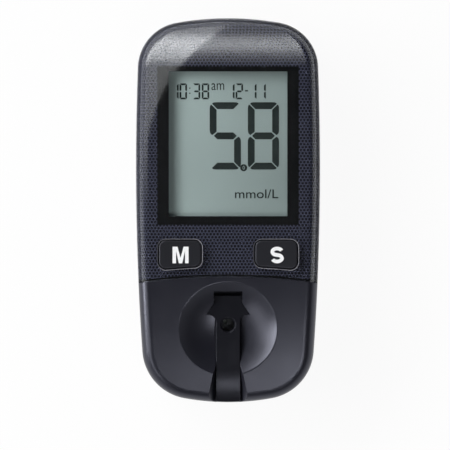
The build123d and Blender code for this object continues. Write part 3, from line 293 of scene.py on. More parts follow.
# ---- button letters
def letter_m(height):
    """Two stems and a vee between them, on a base line from the origin. All shares are of the
    letter's height. The vee's upper edge dips to dip, and its foot is twice foot wide."""
    wide, stem, flank = 0.967, 0.212, 0.30
    dip, counter_top, foot = 0.33, 0.76, 0.103
    half = wide / 2
    left = [(0, 0), (0, 1), (flank, 1), (half, dip)]
    under = [(stem, 0), (stem, counter_top), (half - foot, 0)]
    right = [(wide - x, y) for x, y in left[:3]][::-1]
    under_right = [(wide - x, y) for x, y in under]
    outline = left + right + under_right + under[::-1]
    return rounded(np.array(outline) * height, 0.03 * height)


def letter_s(height):
    """An even line along two half-open ovals, one over the other, joined by a slanted middle."""
    wide, line = 0.80, 0.222
    across, along = (wide - line) / 2, (1 - line) / 4
    upper = np.radians(np.linspace(22, 242, 22))
    lower = np.radians(np.linspace(62, -158, 22))
    path = np.vstack(
        [
            np.stack([wide / 2 + across * np.cos(turn), 0.5 + side * along + along * np.sin(turn)], 1)
            for turn, side in ((upper, 1), (lower, -1))
        ]
    )
    return stroked(path * height, line * height)


# ---- lettering
def lettering(name, text, box, low, high, weight, material, body):
    """Text made a mesh, then stretched so that it fills box (left, bottom, right, top) and stands
    from low to high. weight thickens its strokes."""
    curve = bpy.data.curves.new(name, "FONT")
    curve.body = text
    curve.offset = weight
    curve.extrude = 0.05
    curve.resolution_u = 6
    source = add_object(name + "_text", curve)
    bpy.context.view_layer.update()
    shown = source.evaluated_get(bpy.context.evaluated_depsgraph_get())
    mesh = bpy.data.meshes.new_from_object(shown)
    bpy.data.objects.remove(source)
    bpy.data.curves.remove(curve)
    points = mesh_points(mesh)
    lowest, highest = points.min(0), points.max(0)
    share = (points - lowest) / (highest - lowest)
    corner = np.array([box[0], box[1], low])
    points = corner + share * (np.array([box[2], box[3], high]) - corner)
    mesh.vertices.foreach_set("co", points.ravel())
    mesh.update()
    mesh.name = name
    return add_piece(name, mesh, material, body)


# ======== shader helpers
class Net:
    """Short calls for a node tree. Most make one node and return its output socket."""

    def __init__(self, tree):
        self.tree = tree

    def node(self, kind, inputs=None, **settings):
        made = self.tree.nodes.new(kind)
        for key, value in settings.items():
            setattr(made, key, value)
        self.fill(made.inputs, inputs or {})
        return made

    def fill(self, sockets, values):
        """Feeds several sockets, each from an output socket or with a constant."""
        for key, value in values.items():
            self.feed(sockets[key], value)

    def feed(self, socket, value):
        if isinstance(value, bpy.types.NodeSocket):
            self.tree.links.new(value, socket)
        elif socket.type == "RGBA" and len(value) == 3:
            socket.default_value = (*value, 1.0)
        else:
            socket.default_value = value

    def math(self, operation, a, b=0.0):
        return self.node("ShaderNodeMath", {0: a, 1: b}, operation=operation).outputs[0]

    def add(self, a, b):
        return self.math("ADD", a, b)

    def less(self, a, b):
        return self.math("SUBTRACT", a, b)

    def times(self, a, b):
        return self.math("MULTIPLY", a, b)

    def size(self, a):
        return self.math("ABSOLUTE", a)

    def vector(self, operation, a, b=(0, 0, 0), output="Vector"):
        return self.node("ShaderNodeVectorMath", {0: a, 1: b}, operation=operation).outputs[output]

    def ramp(self, value, from_low, from_high, to_low=0.0, to_high=1.0, smooth=True):
        made = self.node(
            "ShaderNodeMapRange",
            {0: value, 1: from_low, 2: from_high, 3: to_low, 4: to_high},
            interpolation_type="SMOOTHSTEP" if smooth else "LINEAR",
        )
        return made.outputs[0]

    def blend(self, share, a, b):
        made = self.node("ShaderNodeMix", data_type="RGBA")
        self.feed(made.inputs[0], share)
        self.feed(made.inputs[6], a)
        self.feed(made.inputs[7], b)
        return made.outputs[2]

    def noise(self, place, scale, detail=2.0, roughness=0.5):
        made = self.node(
            "ShaderNodeTexNoise",
            {"Vector": place, "Scale": scale, "Detail": detail, "Roughness": roughness},
        )
        return made.outputs[0]

    def cells(self, place, scale, feature="F1"):
        inputs = {"Vector": place, "Scale": scale}
        return self.node("ShaderNodeTexVoronoi", inputs, feature=feature).outputs["Distance"]

    def finish(self, shader, colour, rough, swing, mask, more=None):
        """Feeds a shader's colour, and its roughness: rough, and more by swing where mask is 1."""
        rough = self.add(rough, self.times(mask, swing))
        self.fill(shader.inputs, {"Base Color": colour, "Roughness": rough, **(more or {})})

    def bump(self, shader, strength, depth, height, given=None):
        """Feeds the shader's normal from a height that stands for depth, in millimetres, at 1. It
        bends the given normal, or the surface's own."""
        inputs = {"Strength": strength, "Distance": depth * MM, "Height": height}
        if given is not None:
            inputs["Normal"] = given
        self.feed(shader.inputs["Normal"], self.node("ShaderNodeBump", inputs).outputs[0])

    def place(self):
        return self.node("ShaderNodeTexCoord").outputs["Object"]

    def split(self, vector):
        return self.node("ShaderNodeSeparateXYZ", {0: vector}).outputs

    def join(self, x, y, z=0.0):
        return self.node("ShaderNodeCombineXYZ", {0: x, 1: y, 2: z}).outputs[0]

    def inset(self, x, y, centre, half):
        """How far a point is inside a rectangle: the lesser of its ways to the sides and ends."""
        to_side = self.less(half[0], self.size(self.less(x, centre[0])))
        to_end = self.less(half[1], self.size(self.less(y, centre[1])))
        return self.math("MINIMUM", to_side, to_end)

    def group(self, build, inputs):
        """Node for the group of build's name, which build makes where there is none yet."""
        tree = bpy.data.node_groups.get(build.__name__) or build()
        made = self.node("ShaderNodeGroup", inputs, node_tree=tree)
        return made.outputs


def new_group(name, inputs, outputs):
    """An empty shader group: its Net, the values given to it and the sockets that it puts out.
    Inputs and outputs are name: socket type."""
    tree = bpy.data.node_groups.new(name, "ShaderNodeTree")
    for side, sockets in (("INPUT", inputs), ("OUTPUT", outputs)):
        for key, kind in sockets.items():
            tree.interface.new_socket(name=key, in_out=side, socket_type=kind)
    entry = tree.nodes.new("NodeGroupInput")
    leave = tree.nodes.new("NodeGroupOutput")
    return Net(tree), entry.outputs, leave.inputs


FLOAT, VECTOR = "NodeSocketFloat", "NodeSocketVector"
WHITE = (1.0, 1.0, 1.0)


def toned(colour, share):
    """A colour made darker or paler by a share."""
    return [min(1.0, c * share) for c in colour]


def bare_net(owner):
    """A Net for a material or a world that has no nodes yet."""
    owner.use_nodes = True
    owner.node_tree.nodes.clear()
    return Net(owner.node_tree)


def moulded_grain():
    """Spark-eroded mould texture: rounded cells broken up by finer noise, and a slow mottle."""
    inputs = {"Place": VECTOR, "Cell": FLOAT}
    net, given, out = new_group("moulded_grain", inputs, {"Height": FLOAT, "Mottle": FLOAT})
    scale = net.math("DIVIDE", 1.0, given["Cell"])
    cells = net.cells(given["Place"], scale, "SMOOTH_F1")
    fine = net.noise(given["Place"], net.times(scale, 1.9), 2.0, 0.6)
    net.feed(out["Height"], net.add(net.times(cells, 0.6), net.times(fine, 0.5)))
    slow = net.noise(given["Place"], 160.0, 3.0, 0.55)
    net.feed(out["Mottle"], net.ramp(slow, 0.35, 0.65))
    return net.tree


def edge_wear():
    """Mask of rubbed edges: how far the rounded normal turns from the true one, broken by noise."""
    inputs = {"Place": VECTOR, "Radius": FLOAT}
    net, given, out = new_group("edge_wear", inputs, {"Mask": FLOAT, "Normal": VECTOR})
    bevel = net.node("ShaderNodeBevel", {"Radius": given["Radius"]}, samples=4)
    true = net.node("ShaderNodeNewGeometry").outputs["True Normal"]
    dot = net.vector("DOT_PRODUCT", bevel.outputs[0], true, "Value")
    turned = net.ramp(net.less(1.0, dot), 0.01, 0.16)
    patchy = net.ramp(net.noise(given["Place"], 900.0, 3.0), 0.38, 0.62)
    net.feed(out["Mask"], net.times(turned, patchy))
    net.feed(out["Normal"], bevel.outputs[0])
    return net.tree


def handling_marks():
    """Mask of faint finger marks and dust: slow smears stretched one way, and small specks."""
    net, given, out = new_group("handling_marks", {"Place": VECTOR}, {"Smear": FLOAT, "Speck": FLOAT})
    stretched = net.vector("MULTIPLY", given["Place"], (1.0, 0.35, 1.0))
    net.feed(out["Smear"], net.ramp(net.noise(stretched, 190.0, 4.0, 0.6), 0.42, 0.7))
    net.feed(out["Speck"], net.ramp(net.cells(given["Place"], 420.0), 0.035, 0.02))
    return net.tree


def dot_lattice():
    """Mask of dots on a lattice of equal triangles: two rectangular lattices half a cell apart,
    each one the distance to its cell's middle, and the nearer one set against the dot's radius.
    The z of the place is 0."""
    inputs = {"Place": VECTOR, "Pitch": FLOAT, "Radius": FLOAT, "Soft": FLOAT}
    net, given, out = new_group("dot_lattice", inputs, {"Mask": FLOAT})
    cell = net.join(given["Pitch"], net.times(given["Pitch"], math.sqrt(3)), 1.0)
    counted = net.vector("DIVIDE", given["Place"], cell)
    distances = []
    for shift in (0.0, 0.5):
        moved = net.vector("ADD", counted, (shift, shift, 0.0))
        in_cell = net.vector("FRACTION", moved)
        from_middle = net.vector("SUBTRACT", in_cell, (0.5, 0.5, 0.0))
        offset = net.vector("MULTIPLY", from_middle, cell)
        distances.append(net.vector("LENGTH", offset, output="Value"))
    near = net.math("MINIMUM", *distances)
    high = net.add(given["Radius"], given["Soft"])
    low = net.less(given["Radius"], given["Soft"])
    net.feed(out["Mask"], net.ramp(near, high, low))
    return net.tree


def new_material(name):
    """A material with one Principled shader: returns it, a Net and the shader."""
    material = bpy.data.materials.new(name)
    material.use_nodes = True
    net = Net(material.node_tree)
    return material, net, net.tree.nodes["Principled BSDF"]


def moulded_plastic(name, colour, roughness, cell, bump=0.012, wear=0.35, edge=0.12, shine=0.7):
    """Moulded plastic with mould grain, a slow mottle in tone and gloss, and lightly rubbed edges.
    bump is the grain's depth and edge the radius of the rubbed edges, both in millimetres."""
    material, net, shader = new_material(name)
    place = net.place()
    grain = net.group(moulded_grain, {"Place": place, "Cell": cell})
    edges = net.group(edge_wear, {"Place": place, "Radius": edge * MM})
    marks = net.group(handling_marks, {"Place": place})
    mottled = net.blend(net.times(grain["Mottle"], 0.5), colour, toned(colour, 0.9))
    paler = [c * 1.25 + 0.012 for c in colour]
    rubbed = net.blend(net.times(edges["Mask"], wear), mottled, paler)
    dusty = net.blend(net.times(marks["Speck"], 0.1), rubbed, (0.3, 0.3, 0.3))
    rough = net.add(roughness - 0.02, net.times(grain["Mottle"], 0.04))
    rough = net.less(rough, net.times(edges["Mask"], 0.05))
    specular = {"Specular IOR Level": shine, "Specular Tint": (0.82, 0.84, 1.0)}
    net.finish(shader, dusty, rough, 0.012, marks["Smear"], specular)
    net.bump(shader, 0.5, bump, grain["Height"], edges["Normal"])
    return material


def clear_plastic(name, tint, roughness, ior=1.49, bonded_about=None):
    """Clear polished plastic with faint finger marks. It casts no shadow and lets the light that
    leaves the parts under it pass straight on. Where bonded_about is given, its inner faces, the
    ones that look toward that point, are in contact with the print and bend no light."""
    material, net, shader = new_material(name)
    place = net.place()
    marks = net.group(handling_marks, {"Place": place})
    net.finish(shader, tint, roughness, 0.015, marks["Smear"], {"Transmission Weight": 1.0, "IOR": ior})
    path = net.node("ShaderNodeLightPath").outputs
    straight = net.math("MAXIMUM", path["Is Shadow Ray"], path["Is Diffuse Ray"])
    if bonded_about is not None:
        face = net.node("ShaderNodeNewGeometry").outputs
        away = net.vector("SUBTRACT", place, bonded_about)
        leaning = net.vector("DOT_PRODUCT", face["True Normal"], away, "Value")
        outward = net.less(1.0, net.times(face["Backfacing"], 2.0))
        inner = net.math("LESS_THAN", net.times(leaning, outward), 0.0)
        straight = net.math("MAXIMUM", straight, inner)
    through = net.node("ShaderNodeBsdfTransparent", {"Color": tint}).outputs[0]
    mixed = net.node("ShaderNodeMixShader", {0: straight, 1: shader.outputs[0], 2: through})
    net.feed(net.tree.nodes["Material Output"].inputs["Surface"], mixed.outputs[0])
    return material


def brushed_metal(name, colour, roughness, stretch=(1.0, 40.0, 1.0), scale=900.0):
    """Metal with fine scratches along one direction and a slow change in gloss."""
    material, net, shader = new_material(name)
    place = net.place()
    lines = net.noise(net.vector("MULTIPLY", place, stretch), scale, 3.0, 0.6)
    shade = net.blend(net.noise(place, 240.0, 2.0), toned(colour, 0.88), colour)
    net.finish(shader, shade, roughness - 0.06, 0.14, lines, {"Metallic": 1.0})
    net.bump(shader, 0.4, 0.002, lines)
    return material


def speckled(name, colour, other, scale, roughness, bump=0.004):
    """A body of two tones broken by noise, such as ceramic, epoxy, rubber or foam."""
    material, net, shader = new_material(name)
    spots = net.noise(net.place(), scale, 3.0, 0.6)
    mask = net.ramp(spots, 0.4, 0.6)
    net.finish(shader, net.blend(mask, colour, other), roughness, 0.08, mask)
    net.bump(shader, 0.4, bump, spots)
    return material


def dress(material, *names):
    """Gives CAD nodes a material."""
    for name in names:
        slots = NODES[name].data.materials
        slots.clear()
        slots.append(material)


def top_of(node):
    """Highest level of a node, in metres."""
    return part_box(node)[1].z


def middle_of(node):
    """Middle of a node's box, in metres."""
    low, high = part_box(node)
    return (low + high) / 2


# ======== pieces
class METER_OT_case(bpy.types.Operator):
    """Finish both housings, the battery door and the strip guide in moulded plastic"""

    bl_idname = "meter.case"
    bl_label = "Case"

    def execute(self, context):
        case = context.scene.meter_case
        shell = moulded_plastic("case_plastic", case.plastic, case.roughness, case.grain)
        dress(shell, "front_housing", "rear_housing")
        door = moulded_plastic("door_plastic", case.plastic, case.roughness + 0.03, case.grain)
        dress(door, "battery_door")
        guide = moulded_plastic("guide_plastic", case.guide, 0.3, case.grain, 0.006, edge=0.1, shine=0.5)
        dress(guide, "strip_guide_cover")
        pin = moulded_plastic("pin_plastic", case.guide, 0.35, case.grain, 0.004)
        dress(pin, "strip_sense_pin", "strip_switch_body")
        return {"FINISHED"}


# The printed border round the display: its middle, its half width and half length, and its soft edge
BORDER_MIDDLE = 0.0, 16.365 * MM
BORDER_HALF = 17.96 * MM, 20.085 * MM
BORDER_SOFT = 0.03 * MM


class METER_OT_front(bpy.types.Operator):
    """Finish the clear faceplate and the printed film under it"""

    bl_idname = "meter.front"
    bl_label = "Faceplate and print"

    def execute(self, context):
        middle = middle_of("faceplate")
        clear = clear_plastic("faceplate_clear", (0.97, 0.98, 0.985), 0.01, 1.25, bonded_about=middle)
        dress(clear, "faceplate")
        # Pale grey of the cut edges round the button openings: partly their matt finish, partly a
        # painted highlight of the edges catching light.
        edge = speckled("opening_edge_painted_highlight", (0.22, 0.22, 0.25), (0.28, 0.28, 0.31), 2500.0, 0.3, 0.002)
        for letter in BODIES:
            self.opening_edge_painted_highlight(letter, top_of("faceplate"), edge)
        dress(self.print_material(context.scene.meter_print), "decor_film")
        return {"FINISHED"}

    def opening_edge_painted_highlight(self, letter, level, material):
        """Matt cut edge round a button's opening, pale so that it also paints the highlight of the edge
        catching light: a sheet, thick either side by skin, that slopes inward from the rim by lean and
        down by drop. The rim is read from the faceplate's highest points near the button, in the order
        of their bearing."""
        low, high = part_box(f"{letter}_button")
        centre = np.array((low + high).xy) / 2
        reach = np.array((high - low).xy) / 2 + 0.3 * MM
        points = mesh_points(NODES["faceplate"].data)
        near = (np.abs(points[:, :2] - centre) < reach).all(1) & (points[:, 2] > level - 0.02 * MM)
        rim = np.unique(np.round(points[near, :2], 6), axis=0)
        bearing = np.arctan2(*(rim - centre).T[::-1])
        rim = rim[np.argsort(bearing)]
        along = np.roll(rim, -1, 0) - np.roll(rim, 1, 0)
        along /= np.linalg.norm(along, axis=1, keepdims=True)
        skin, drop, lean = 0.012 * MM, 0.2 * MM, 0.2 * MM
        inward = np.stack([-along[:, 1], along[:, 0]], 1) * lean
        loops = [
            at_level(rim, level + skin),
            at_level(rim + inward, level - drop + skin),
            at_level(rim + inward, level - drop - skin),
            at_level(rim, level - skin),
        ]
        mesh_object(f"{letter}_opening_edge_painted_highlight", *band(loops), material, HOUSING, "front_clear")

    def seam_curve(self):
        """The film's lower edge as the curve y = a + b x^2, fitted to its lowest points: a and b."""
        points = mesh_points(NODES["decor_film"].data)
        low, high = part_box("decor_film")
        on_top = points[:, 2] > high.z - 0.6 * MM
        edge = points[on_top & (points[:, 1] < low.y + 1.8 * MM)]
        edge = edge[np.abs(edge[:, 0]) < 19 * MM]
        bend, start = np.polyfit(edge[:, 0] ** 2, edge[:, 1], 1)
        return start, bend

    def print_material(self, look):
        """Dots on a web, run on down the sides, round a plain border with square corners. The film
        is glossy: least on the border, a little less on the dots than between them."""
        material, net, shader = new_material("film_print")
        place = net.place()
        x, y, z = net.split(place)
        fall = net.less(top_of("decor_film"), z)
        unrolled_x = net.add(x, net.times(fall, net.math("SIGN", x)))
        unrolled = net.join(unrolled_x, y)
        lattice = {"Place": unrolled, "Pitch": look.pitch, "Radius": look.dot, "Soft": 0.07 * MM}
        dots = net.group(dot_lattice, lattice)["Mask"]
        web = net.blend(net.noise(place, 300.0, 3.0), toned(look.web, 0.9), toned(look.web, 1.1))
        pattern = net.blend(net.times(dots, 0.93), web, look.ink)
        inside = net.ramp(net.inset(x, y, BORDER_MIDDLE, BORDER_HALF), -BORDER_SOFT, BORDER_SOFT)
        start, bend = self.seam_curve()
        seam = net.add(start, net.times(net.times(x, x), bend))
        at_seam = net.ramp(net.less(y, seam), 0.5 * MM, 0.3 * MM)
        printed = net.blend(at_seam, net.blend(inside, pattern, look.border), look.border)
        net.finish(shader, printed, 0.62, -0.1, dots, {"Specular IOR Level": 0.05})
        on_pattern = net.ramp(dots, 0.0, 1.0, 0.9, 0.81, smooth=False)
        coat = net.add(on_pattern, net.times(inside, net.less(0.66, on_pattern)))
        net.fill(shader.inputs, {"Coat Weight": coat, "Coat Roughness": 0.02, "Coat IOR": 1.8})
        net.bump(shader, 0.3, 0.004, dots)
        return material


# Places on the display, in metres: left edges, feet, and boxes of left, bottom, right and top
READING = "58"
READING_LEFTS = np.array([-4.66, 5.02]) * MM
READING_FOOT = 10.32 * MM
READING_WIDTH = 7.95 * MM
POINT_X, POINT_Y = 3.97 * MM, 10.78 * MM
UNIT_BOX = np.array([1.76, 3.0, 12.78, 5.30]) * MM
CLOCK = "10381211"
CLOCK_LEFTS = np.array([-14.44, -12.32, -8.96, -6.68, -0.24, 1.92, 5.34, 7.70]) * MM
CLOCK_FOOT = 28.15 * MM
CLOCK_SIZE = 1.9 * MM, 4.05 * MM
COLON_X = -9.70 * MM
COLON_YS = 31.0 * MM, 29.7 * MM
DASH_BOX = np.array([4.32, 30.15, 5.08, 30.5]) * MM
DAY_HALF_BOX = np.array([-4.22, 30.5, -0.97, 32.25]) * MM
INK_SLOT = "black_plastic"


class METER_OT_display(bpy.types.Operator):
    """Finish the display's layers and draw its lit segments, unit and day mark"""

    bl_idname = "meter.display"
    bl_label = "Display"

    def execute(self, context):
        look = context.scene.meter_display
        self.dress_layers(look.ground)
        ink, net, shader = new_material("segment_ink")
        uneven = net.noise(net.place(), 500.0, 2.0)
        shade = net.blend(uneven, toned(look.ink, 0.85), toned(look.ink, 1.15))
        net.finish(shader, shade, 0.42, 0.1, uneven, {"Specular IOR Level": 0.15})
        low = top_of("lcd_front_polariser") + 0.002 * MM
        high = low + 0.02 * MM
        self.large_digits(look, ink, low, high)
        self.clock(ink, low, high)
        lettering("display_unit", "mmol/L", UNIT_BOX, low, high, 0.006, ink, HOUSING)
        lettering("display_day_half", "am", DAY_HALF_BOX, low, high, 0.0, ink, HOUSING)
        return {"FINISHED"}

    def large_digits(self, look, ink, low, high):
        """The reading, with its round decimal point: a ring round an upright core."""
        gap, cut = 0.26 * MM, 0.95 * MM
        size = READING_WIDTH, look.digit_height
        outlines = digit_outlines(READING, READING_LEFTS, READING_FOOT, *size, look.stroke, gap, cut)
        mesh_object("display_reading", *prisms(outlines, low, high), ink, HOUSING, INK_SLOT)
        disc = oval(POINT_X, POINT_Y, 0.9 * MM, 0.9 * MM)
        hole = oval(POINT_X, POINT_Y, 0.28 * MM, 0.46 * MM)
        core = oval(POINT_X, POINT_Y, 0.15 * MM, 0.32 * MM, 24)
        loops = [at_level(disc, low), at_level(disc, high), at_level(hole, high), at_level(hole, low)]
        mesh_object("display_point", *band(loops), ink, HOUSING, INK_SLOT)
        mesh_object("display_point_core", *prisms([core], low, high), ink, HOUSING, INK_SLOT)

    def clock(self, ink, low, high):
        """Time and date in small digits, with a colon and a dash."""
        stroke, gap, cut = 0.46 * MM, 0.10 * MM, 0.22 * MM
        outlines = digit_outlines(CLOCK, CLOCK_LEFTS, CLOCK_FOOT, *CLOCK_SIZE, stroke, gap, cut)
        outlines += [oval(COLON_X, y, 0.17 * MM, 0.17 * MM, 16) for y in COLON_YS]
        left, bottom, right, top = DASH_BOX
        outlines.append([(left, bottom), (right, bottom), (right, top), (left, top)])
        mesh_object("display_clock", *prisms(outlines, low, high), ink, HOUSING, INK_SLOT)

    def dress_layers(self, ground):
        """Unlit display, with painted light that makes it paler to the left, its glass, and the holder
        and contacts round it.
        """
        material, net, shader = new_material("polariser_film")
        place = net.place()
        x, y, z = net.split(place)
        # Painted light: a ramp across x makes the display's colour paler to the left, with a slow random
        # change in tone on top.
        painted_light_and_tone = net.add(net.ramp(x, 14 * MM, -14 * MM, 0.0, 0.8), net.noise(place, 34.0, 1.0))
        grain = net.noise(place, 2600.0, 2.0)
        uneven = net.blend(net.less(painted_light_and_tone, 0.4), toned(ground, 0.88), toned(ground, 1.34))
        shade = net.blend(net.times(grain, 0.2), uneven, toned(ground, 0.8))
        net.finish(shader, shade, 0.5, 0.08, grain, {"Specular IOR Level": 0.2})
        net.bump(shader, 0.2, 0.002, grain)
        dress(material, "lcd_front_polariser", "lcd_rear_polariser")
        glass = clear_plastic("display_glass", (0.86, 0.91, 0.89), 0.02, 1.52)
        dress(glass, "lcd_front_glass", "lcd_rear_glass")
        holder = moulded_plastic("holder_plastic", (0.62, 0.62, 0.6), 0.5, 0.2 * MM, wear=0.1)
        dress(holder, "lcd_holder")
        foam = speckled("gasket_foam", (0.012, 0.012, 0.012), (0.03, 0.03, 0.03), 2400.0, 0.8, 0.03)
        dress(foam, "window_gasket")
        dress(self.contact_rubber(), "zebra_strip_upper", "zebra_strip_lower")

    def contact_rubber(self):
        """Thin conducting layers between insulating ones, stacked across the strip."""
        material, net, shader = new_material("contact_rubber")
        x, y, z = net.split(net.place())
        layers = net.math("FRACT", net.times(x, 5000.0))
        dark = net.ramp(layers, 0.42, 0.5)
        shade = net.blend(dark, (0.55, 0.3, 0.3), (0.03, 0.03, 0.03))
        net.finish(shader, shade, 0.6, 0.15, dark)
        return material


# The letters, and how far each stands off the middle of its button
LETTERS = {"m": letter_m, "s": letter_s}
LETTER_SHIFT = {"m": np.array([0.16, -0.08]) * MM, "s": np.array([0.24, -0.08]) * MM}


class METER_OT_buttons(bpy.types.Operator):
    """Finish both buttons and their switches, and print their letters"""

    bl_idname = "meter.buttons"
    bl_label = "Buttons"

    def execute(self, context):
        look = context.scene.meter_legends
        cap = moulded_plastic("button_plastic", look.cap, 0.32, 0.12 * MM, 0.005, edge=0.1, shine=0.4)
        white = speckled("legend_ink", toned(look.ink, 0.96), look.ink, 1500.0, 0.5, 0.001)
        for letter, body in BODIES.items():
            button = f"{letter}_button"
            dress(cap, button)
            outline = LETTERS[letter](look.height)
            middle = np.array(middle_of(button).xy) + LETTER_SHIFT[letter]
            outline += middle - (outline.min(0) + outline.max(0)) / 2
            face = top_of(button)
            printed = prisms([outline], face - 0.01 * MM, face + 0.008 * MM)
            mesh_object(f"{letter}_legend", *printed, white, body, "holder_plastic")
        switch = speckled("switch_plastic", (0.02, 0.02, 0.021), (0.03, 0.03, 0.031), 1800.0, 0.45)
        dress(switch, "m_switch_body", "s_switch_body")
        plunger = moulded_plastic("plunger_plastic", (0.02, 0.02, 0.02), 0.35, 0.1 * MM, 0.003)
        dress(plunger, "m_switch_plunger", "s_switch_plunger")
        return {"FINISHED"}


class METER_OT_optics(bpy.types.Operator):
    """Finish the measuring window, the light guides and what is under them"""

    bl_idname = "meter.optics"
    bl_label = "Optics"

    def execute(self, context):
        clear = clear_plastic("optical_plastic", (0.93, 0.95, 0.96), 0.015)
        dress(clear, "measuring_window", "light_guides")
        block = speckled("optics_plastic", (0.008, 0.008, 0.009), (0.014, 0.014, 0.015), 1500.0, 0.5)
        dress(block, "optics_block")
        lamp = speckled("lamp_resin", (0.75, 0.74, 0.6), (0.82, 0.81, 0.7), 1200.0, 0.2)
        dress(lamp, "measuring_led")
        sensor = speckled("sensor_resin", (0.02, 0.018, 0.03), (0.03, 0.028, 0.045), 1200.0, 0.15)
        dress(sensor, "photodiode")
        return {"FINISHED"}


class METER_OT_board(bpy.types.Operator):
    """Finish the circuit board and its parts"""

    bl_idname = "meter.board"
    bl_label = "Circuit board"

    def execute(self, context):
        dress(self.board_material(), "main_board")
        resin = speckled("chip_resin", (0.014, 0.014, 0.015), (0.024, 0.024, 0.026), 2200.0, 0.55)
        dress(resin, "microcontroller", "memory_chip", "buzzer")
        dress(brushed_metal("crystal_can", (0.62, 0.62, 0.6), 0.3), "crystal")
        tan = speckled("capacitor_body", (0.42, 0.3, 0.17), (0.5, 0.37, 0.22), 3000.0, 0.45)
        dress(tan, "capacitors")
        black = speckled("resistor_body", (0.012, 0.012, 0.013), (0.02, 0.02, 0.022), 3000.0, 0.4)
        dress(black, "resistors")
        return {"FINISHED"}

    def board_material(self):
        """Solder resist over copper tracks that run along and across, with bare pads."""
        material, net, shader = new_material("board_laminate")
        place = net.place()
        x, y, z = net.split(place)
        wander = net.times(net.noise(place, 120.0, 1.0), 0.002)
        along = net.math("FRACT", net.times(net.add(x, wander), 900.0))
        across = net.math("FRACT", net.times(net.add(y, wander), 700.0))
        choice = net.ramp(net.noise(place, 70.0, 0.0), 0.48, 0.5)
        line = net.blend(choice, along, across)
        track = net.ramp(net.size(net.less(line, 0.5)), 0.2, 0.14)
        pad = net.ramp(net.cells(place, 320.0), 0.16, 0.12)
        resist = net.blend(track, (0.012, 0.085, 0.03), (0.02, 0.15, 0.055))
        shade = net.blend(pad, resist, (0.72, 0.55, 0.28))
        net.finish(shader, shade, 0.3, 0.08, track, {"Metallic": pad})
        net.bump(shader, 0.4, 0.01, track)
        return material


class METER_OT_power(bpy.types.Operator):
    """Finish the coin cell, its contacts, the data socket and the screws"""

    bl_idname = "meter.power"
    bl_label = "Metal parts"

    def execute(self, context):
        steel = brushed_metal("contact_steel", (0.66, 0.65, 0.62), 0.28)
        dress(steel, "battery_contact_positive", "battery_contact_negative")
        dress(brushed_metal("socket_steel", (0.6, 0.6, 0.6), 0.34, (1.0, 1.0, 30.0)), "usb_shell")
        screw = brushed_metal("screw_steel", (0.1, 0.1, 0.105), 0.4, (1.0, 1.0, 1.0), 1500.0)
        dress(screw, "housing_screws")
        dress(self.turned_metal("cell_can_steel", (0.7, 0.7, 0.69), 0.22), "coin_cell_can")
        dress(self.turned_metal("cell_cap_steel", (0.66, 0.66, 0.65), 0.3), "coin_cell_cap")
        seal = speckled("seal_resin", (0.7, 0.7, 0.66), (0.78, 0.78, 0.74), 1500.0, 0.35)
        dress(seal, "coin_cell_gasket")
        tongue = speckled("tongue_plastic", (0.012, 0.012, 0.012), (0.02, 0.02, 0.02), 2000.0, 0.45)
        dress(tongue, "usb_tongue")
        return {"FINISHED"}

    def turned_metal(self, name, colour, roughness):
        """Metal turned round the cell's axis: fine rings of gloss about its middle."""
        material, net, shader = new_material(name)
        place = net.place()
        away = net.vector("SUBTRACT", place, middle_of("coin_cell_can"))
        flat = net.vector("MULTIPLY", away, (1.0, 1.0, 0.0))
        radius = net.vector("LENGTH", flat, output="Value")
        rings = net.noise(net.join(radius, 0.0), 6000.0, 2.0)
        shade = net.blend(net.noise(place, 260.0, 2.0), toned(colour, 0.9), colour)
        net.finish(shader, shade, roughness - 0.05, 0.12, rings, {"Metallic": 1.0})
        net.bump(shader, 0.3, 0.002, rings)
        return material


class METER_OT_label(bpy.types.Operator):
    """Finish the bare label in the back"""

    bl_idname = "meter.label"
    bl_label = "Label"

    def execute(self, context):
        material, net, shader = new_material("label_film")
        low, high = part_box("back_label")
        place = net.place()
        x, y, z = net.split(place)
        inset = net.inset(x, y, middle_of("back_label"), (high - low) / 2)
        outline = net.ramp(net.size(net.less(inset, 1.2 * MM)), 0.14 * MM, 0.1 * MM)
        fibre = net.noise(place, 1400.0, 3.0)
        paper = net.blend(fibre, (0.36, 0.37, 0.39), (0.42, 0.43, 0.45))
        shade = net.blend(outline, paper, (0.03, 0.03, 0.035))
        net.finish(shader, shade, 0.42, 0.12, fibre)
        net.bump(shader, 0.2, 0.006, fibre)
        dress(material, "back_label")
        return {"FINISHED"}


# ======== stage
# The lights' places and their widths and heights, in metres
KEY_PLACE_SIZE = (-0.833, 0.481, 0.533), (1.9, 0.30)
SIDE_PLACE_SIZE = (-0.38, -0.19, 0.41), (0.5, 0.15)
FILL_PLACE_SIZE = (0.06, -0.145, 0.30), (0.12, 0.08)
# The control points of the glare's curved edge on the front, from the strip end to the display end
GLARE_EDGE = np.array([(-22.4, -6.0), (-22.1, 14.0), (-20.1, 27.5), (-12.0, 37.0)]) * MM
# The outline of the card over the display end, and the last points of the left card's, in metres
CARD_FAR = [(-0.15, 0.04), (0.13, 0.04), (0.13, 1.3), (-0.15, 1.3)]
CARD_LEFT_REST = [(-0.008, 0.48), (0.0035, 1.25), (0.0035, 1.3), (-1.0, 1.3)]


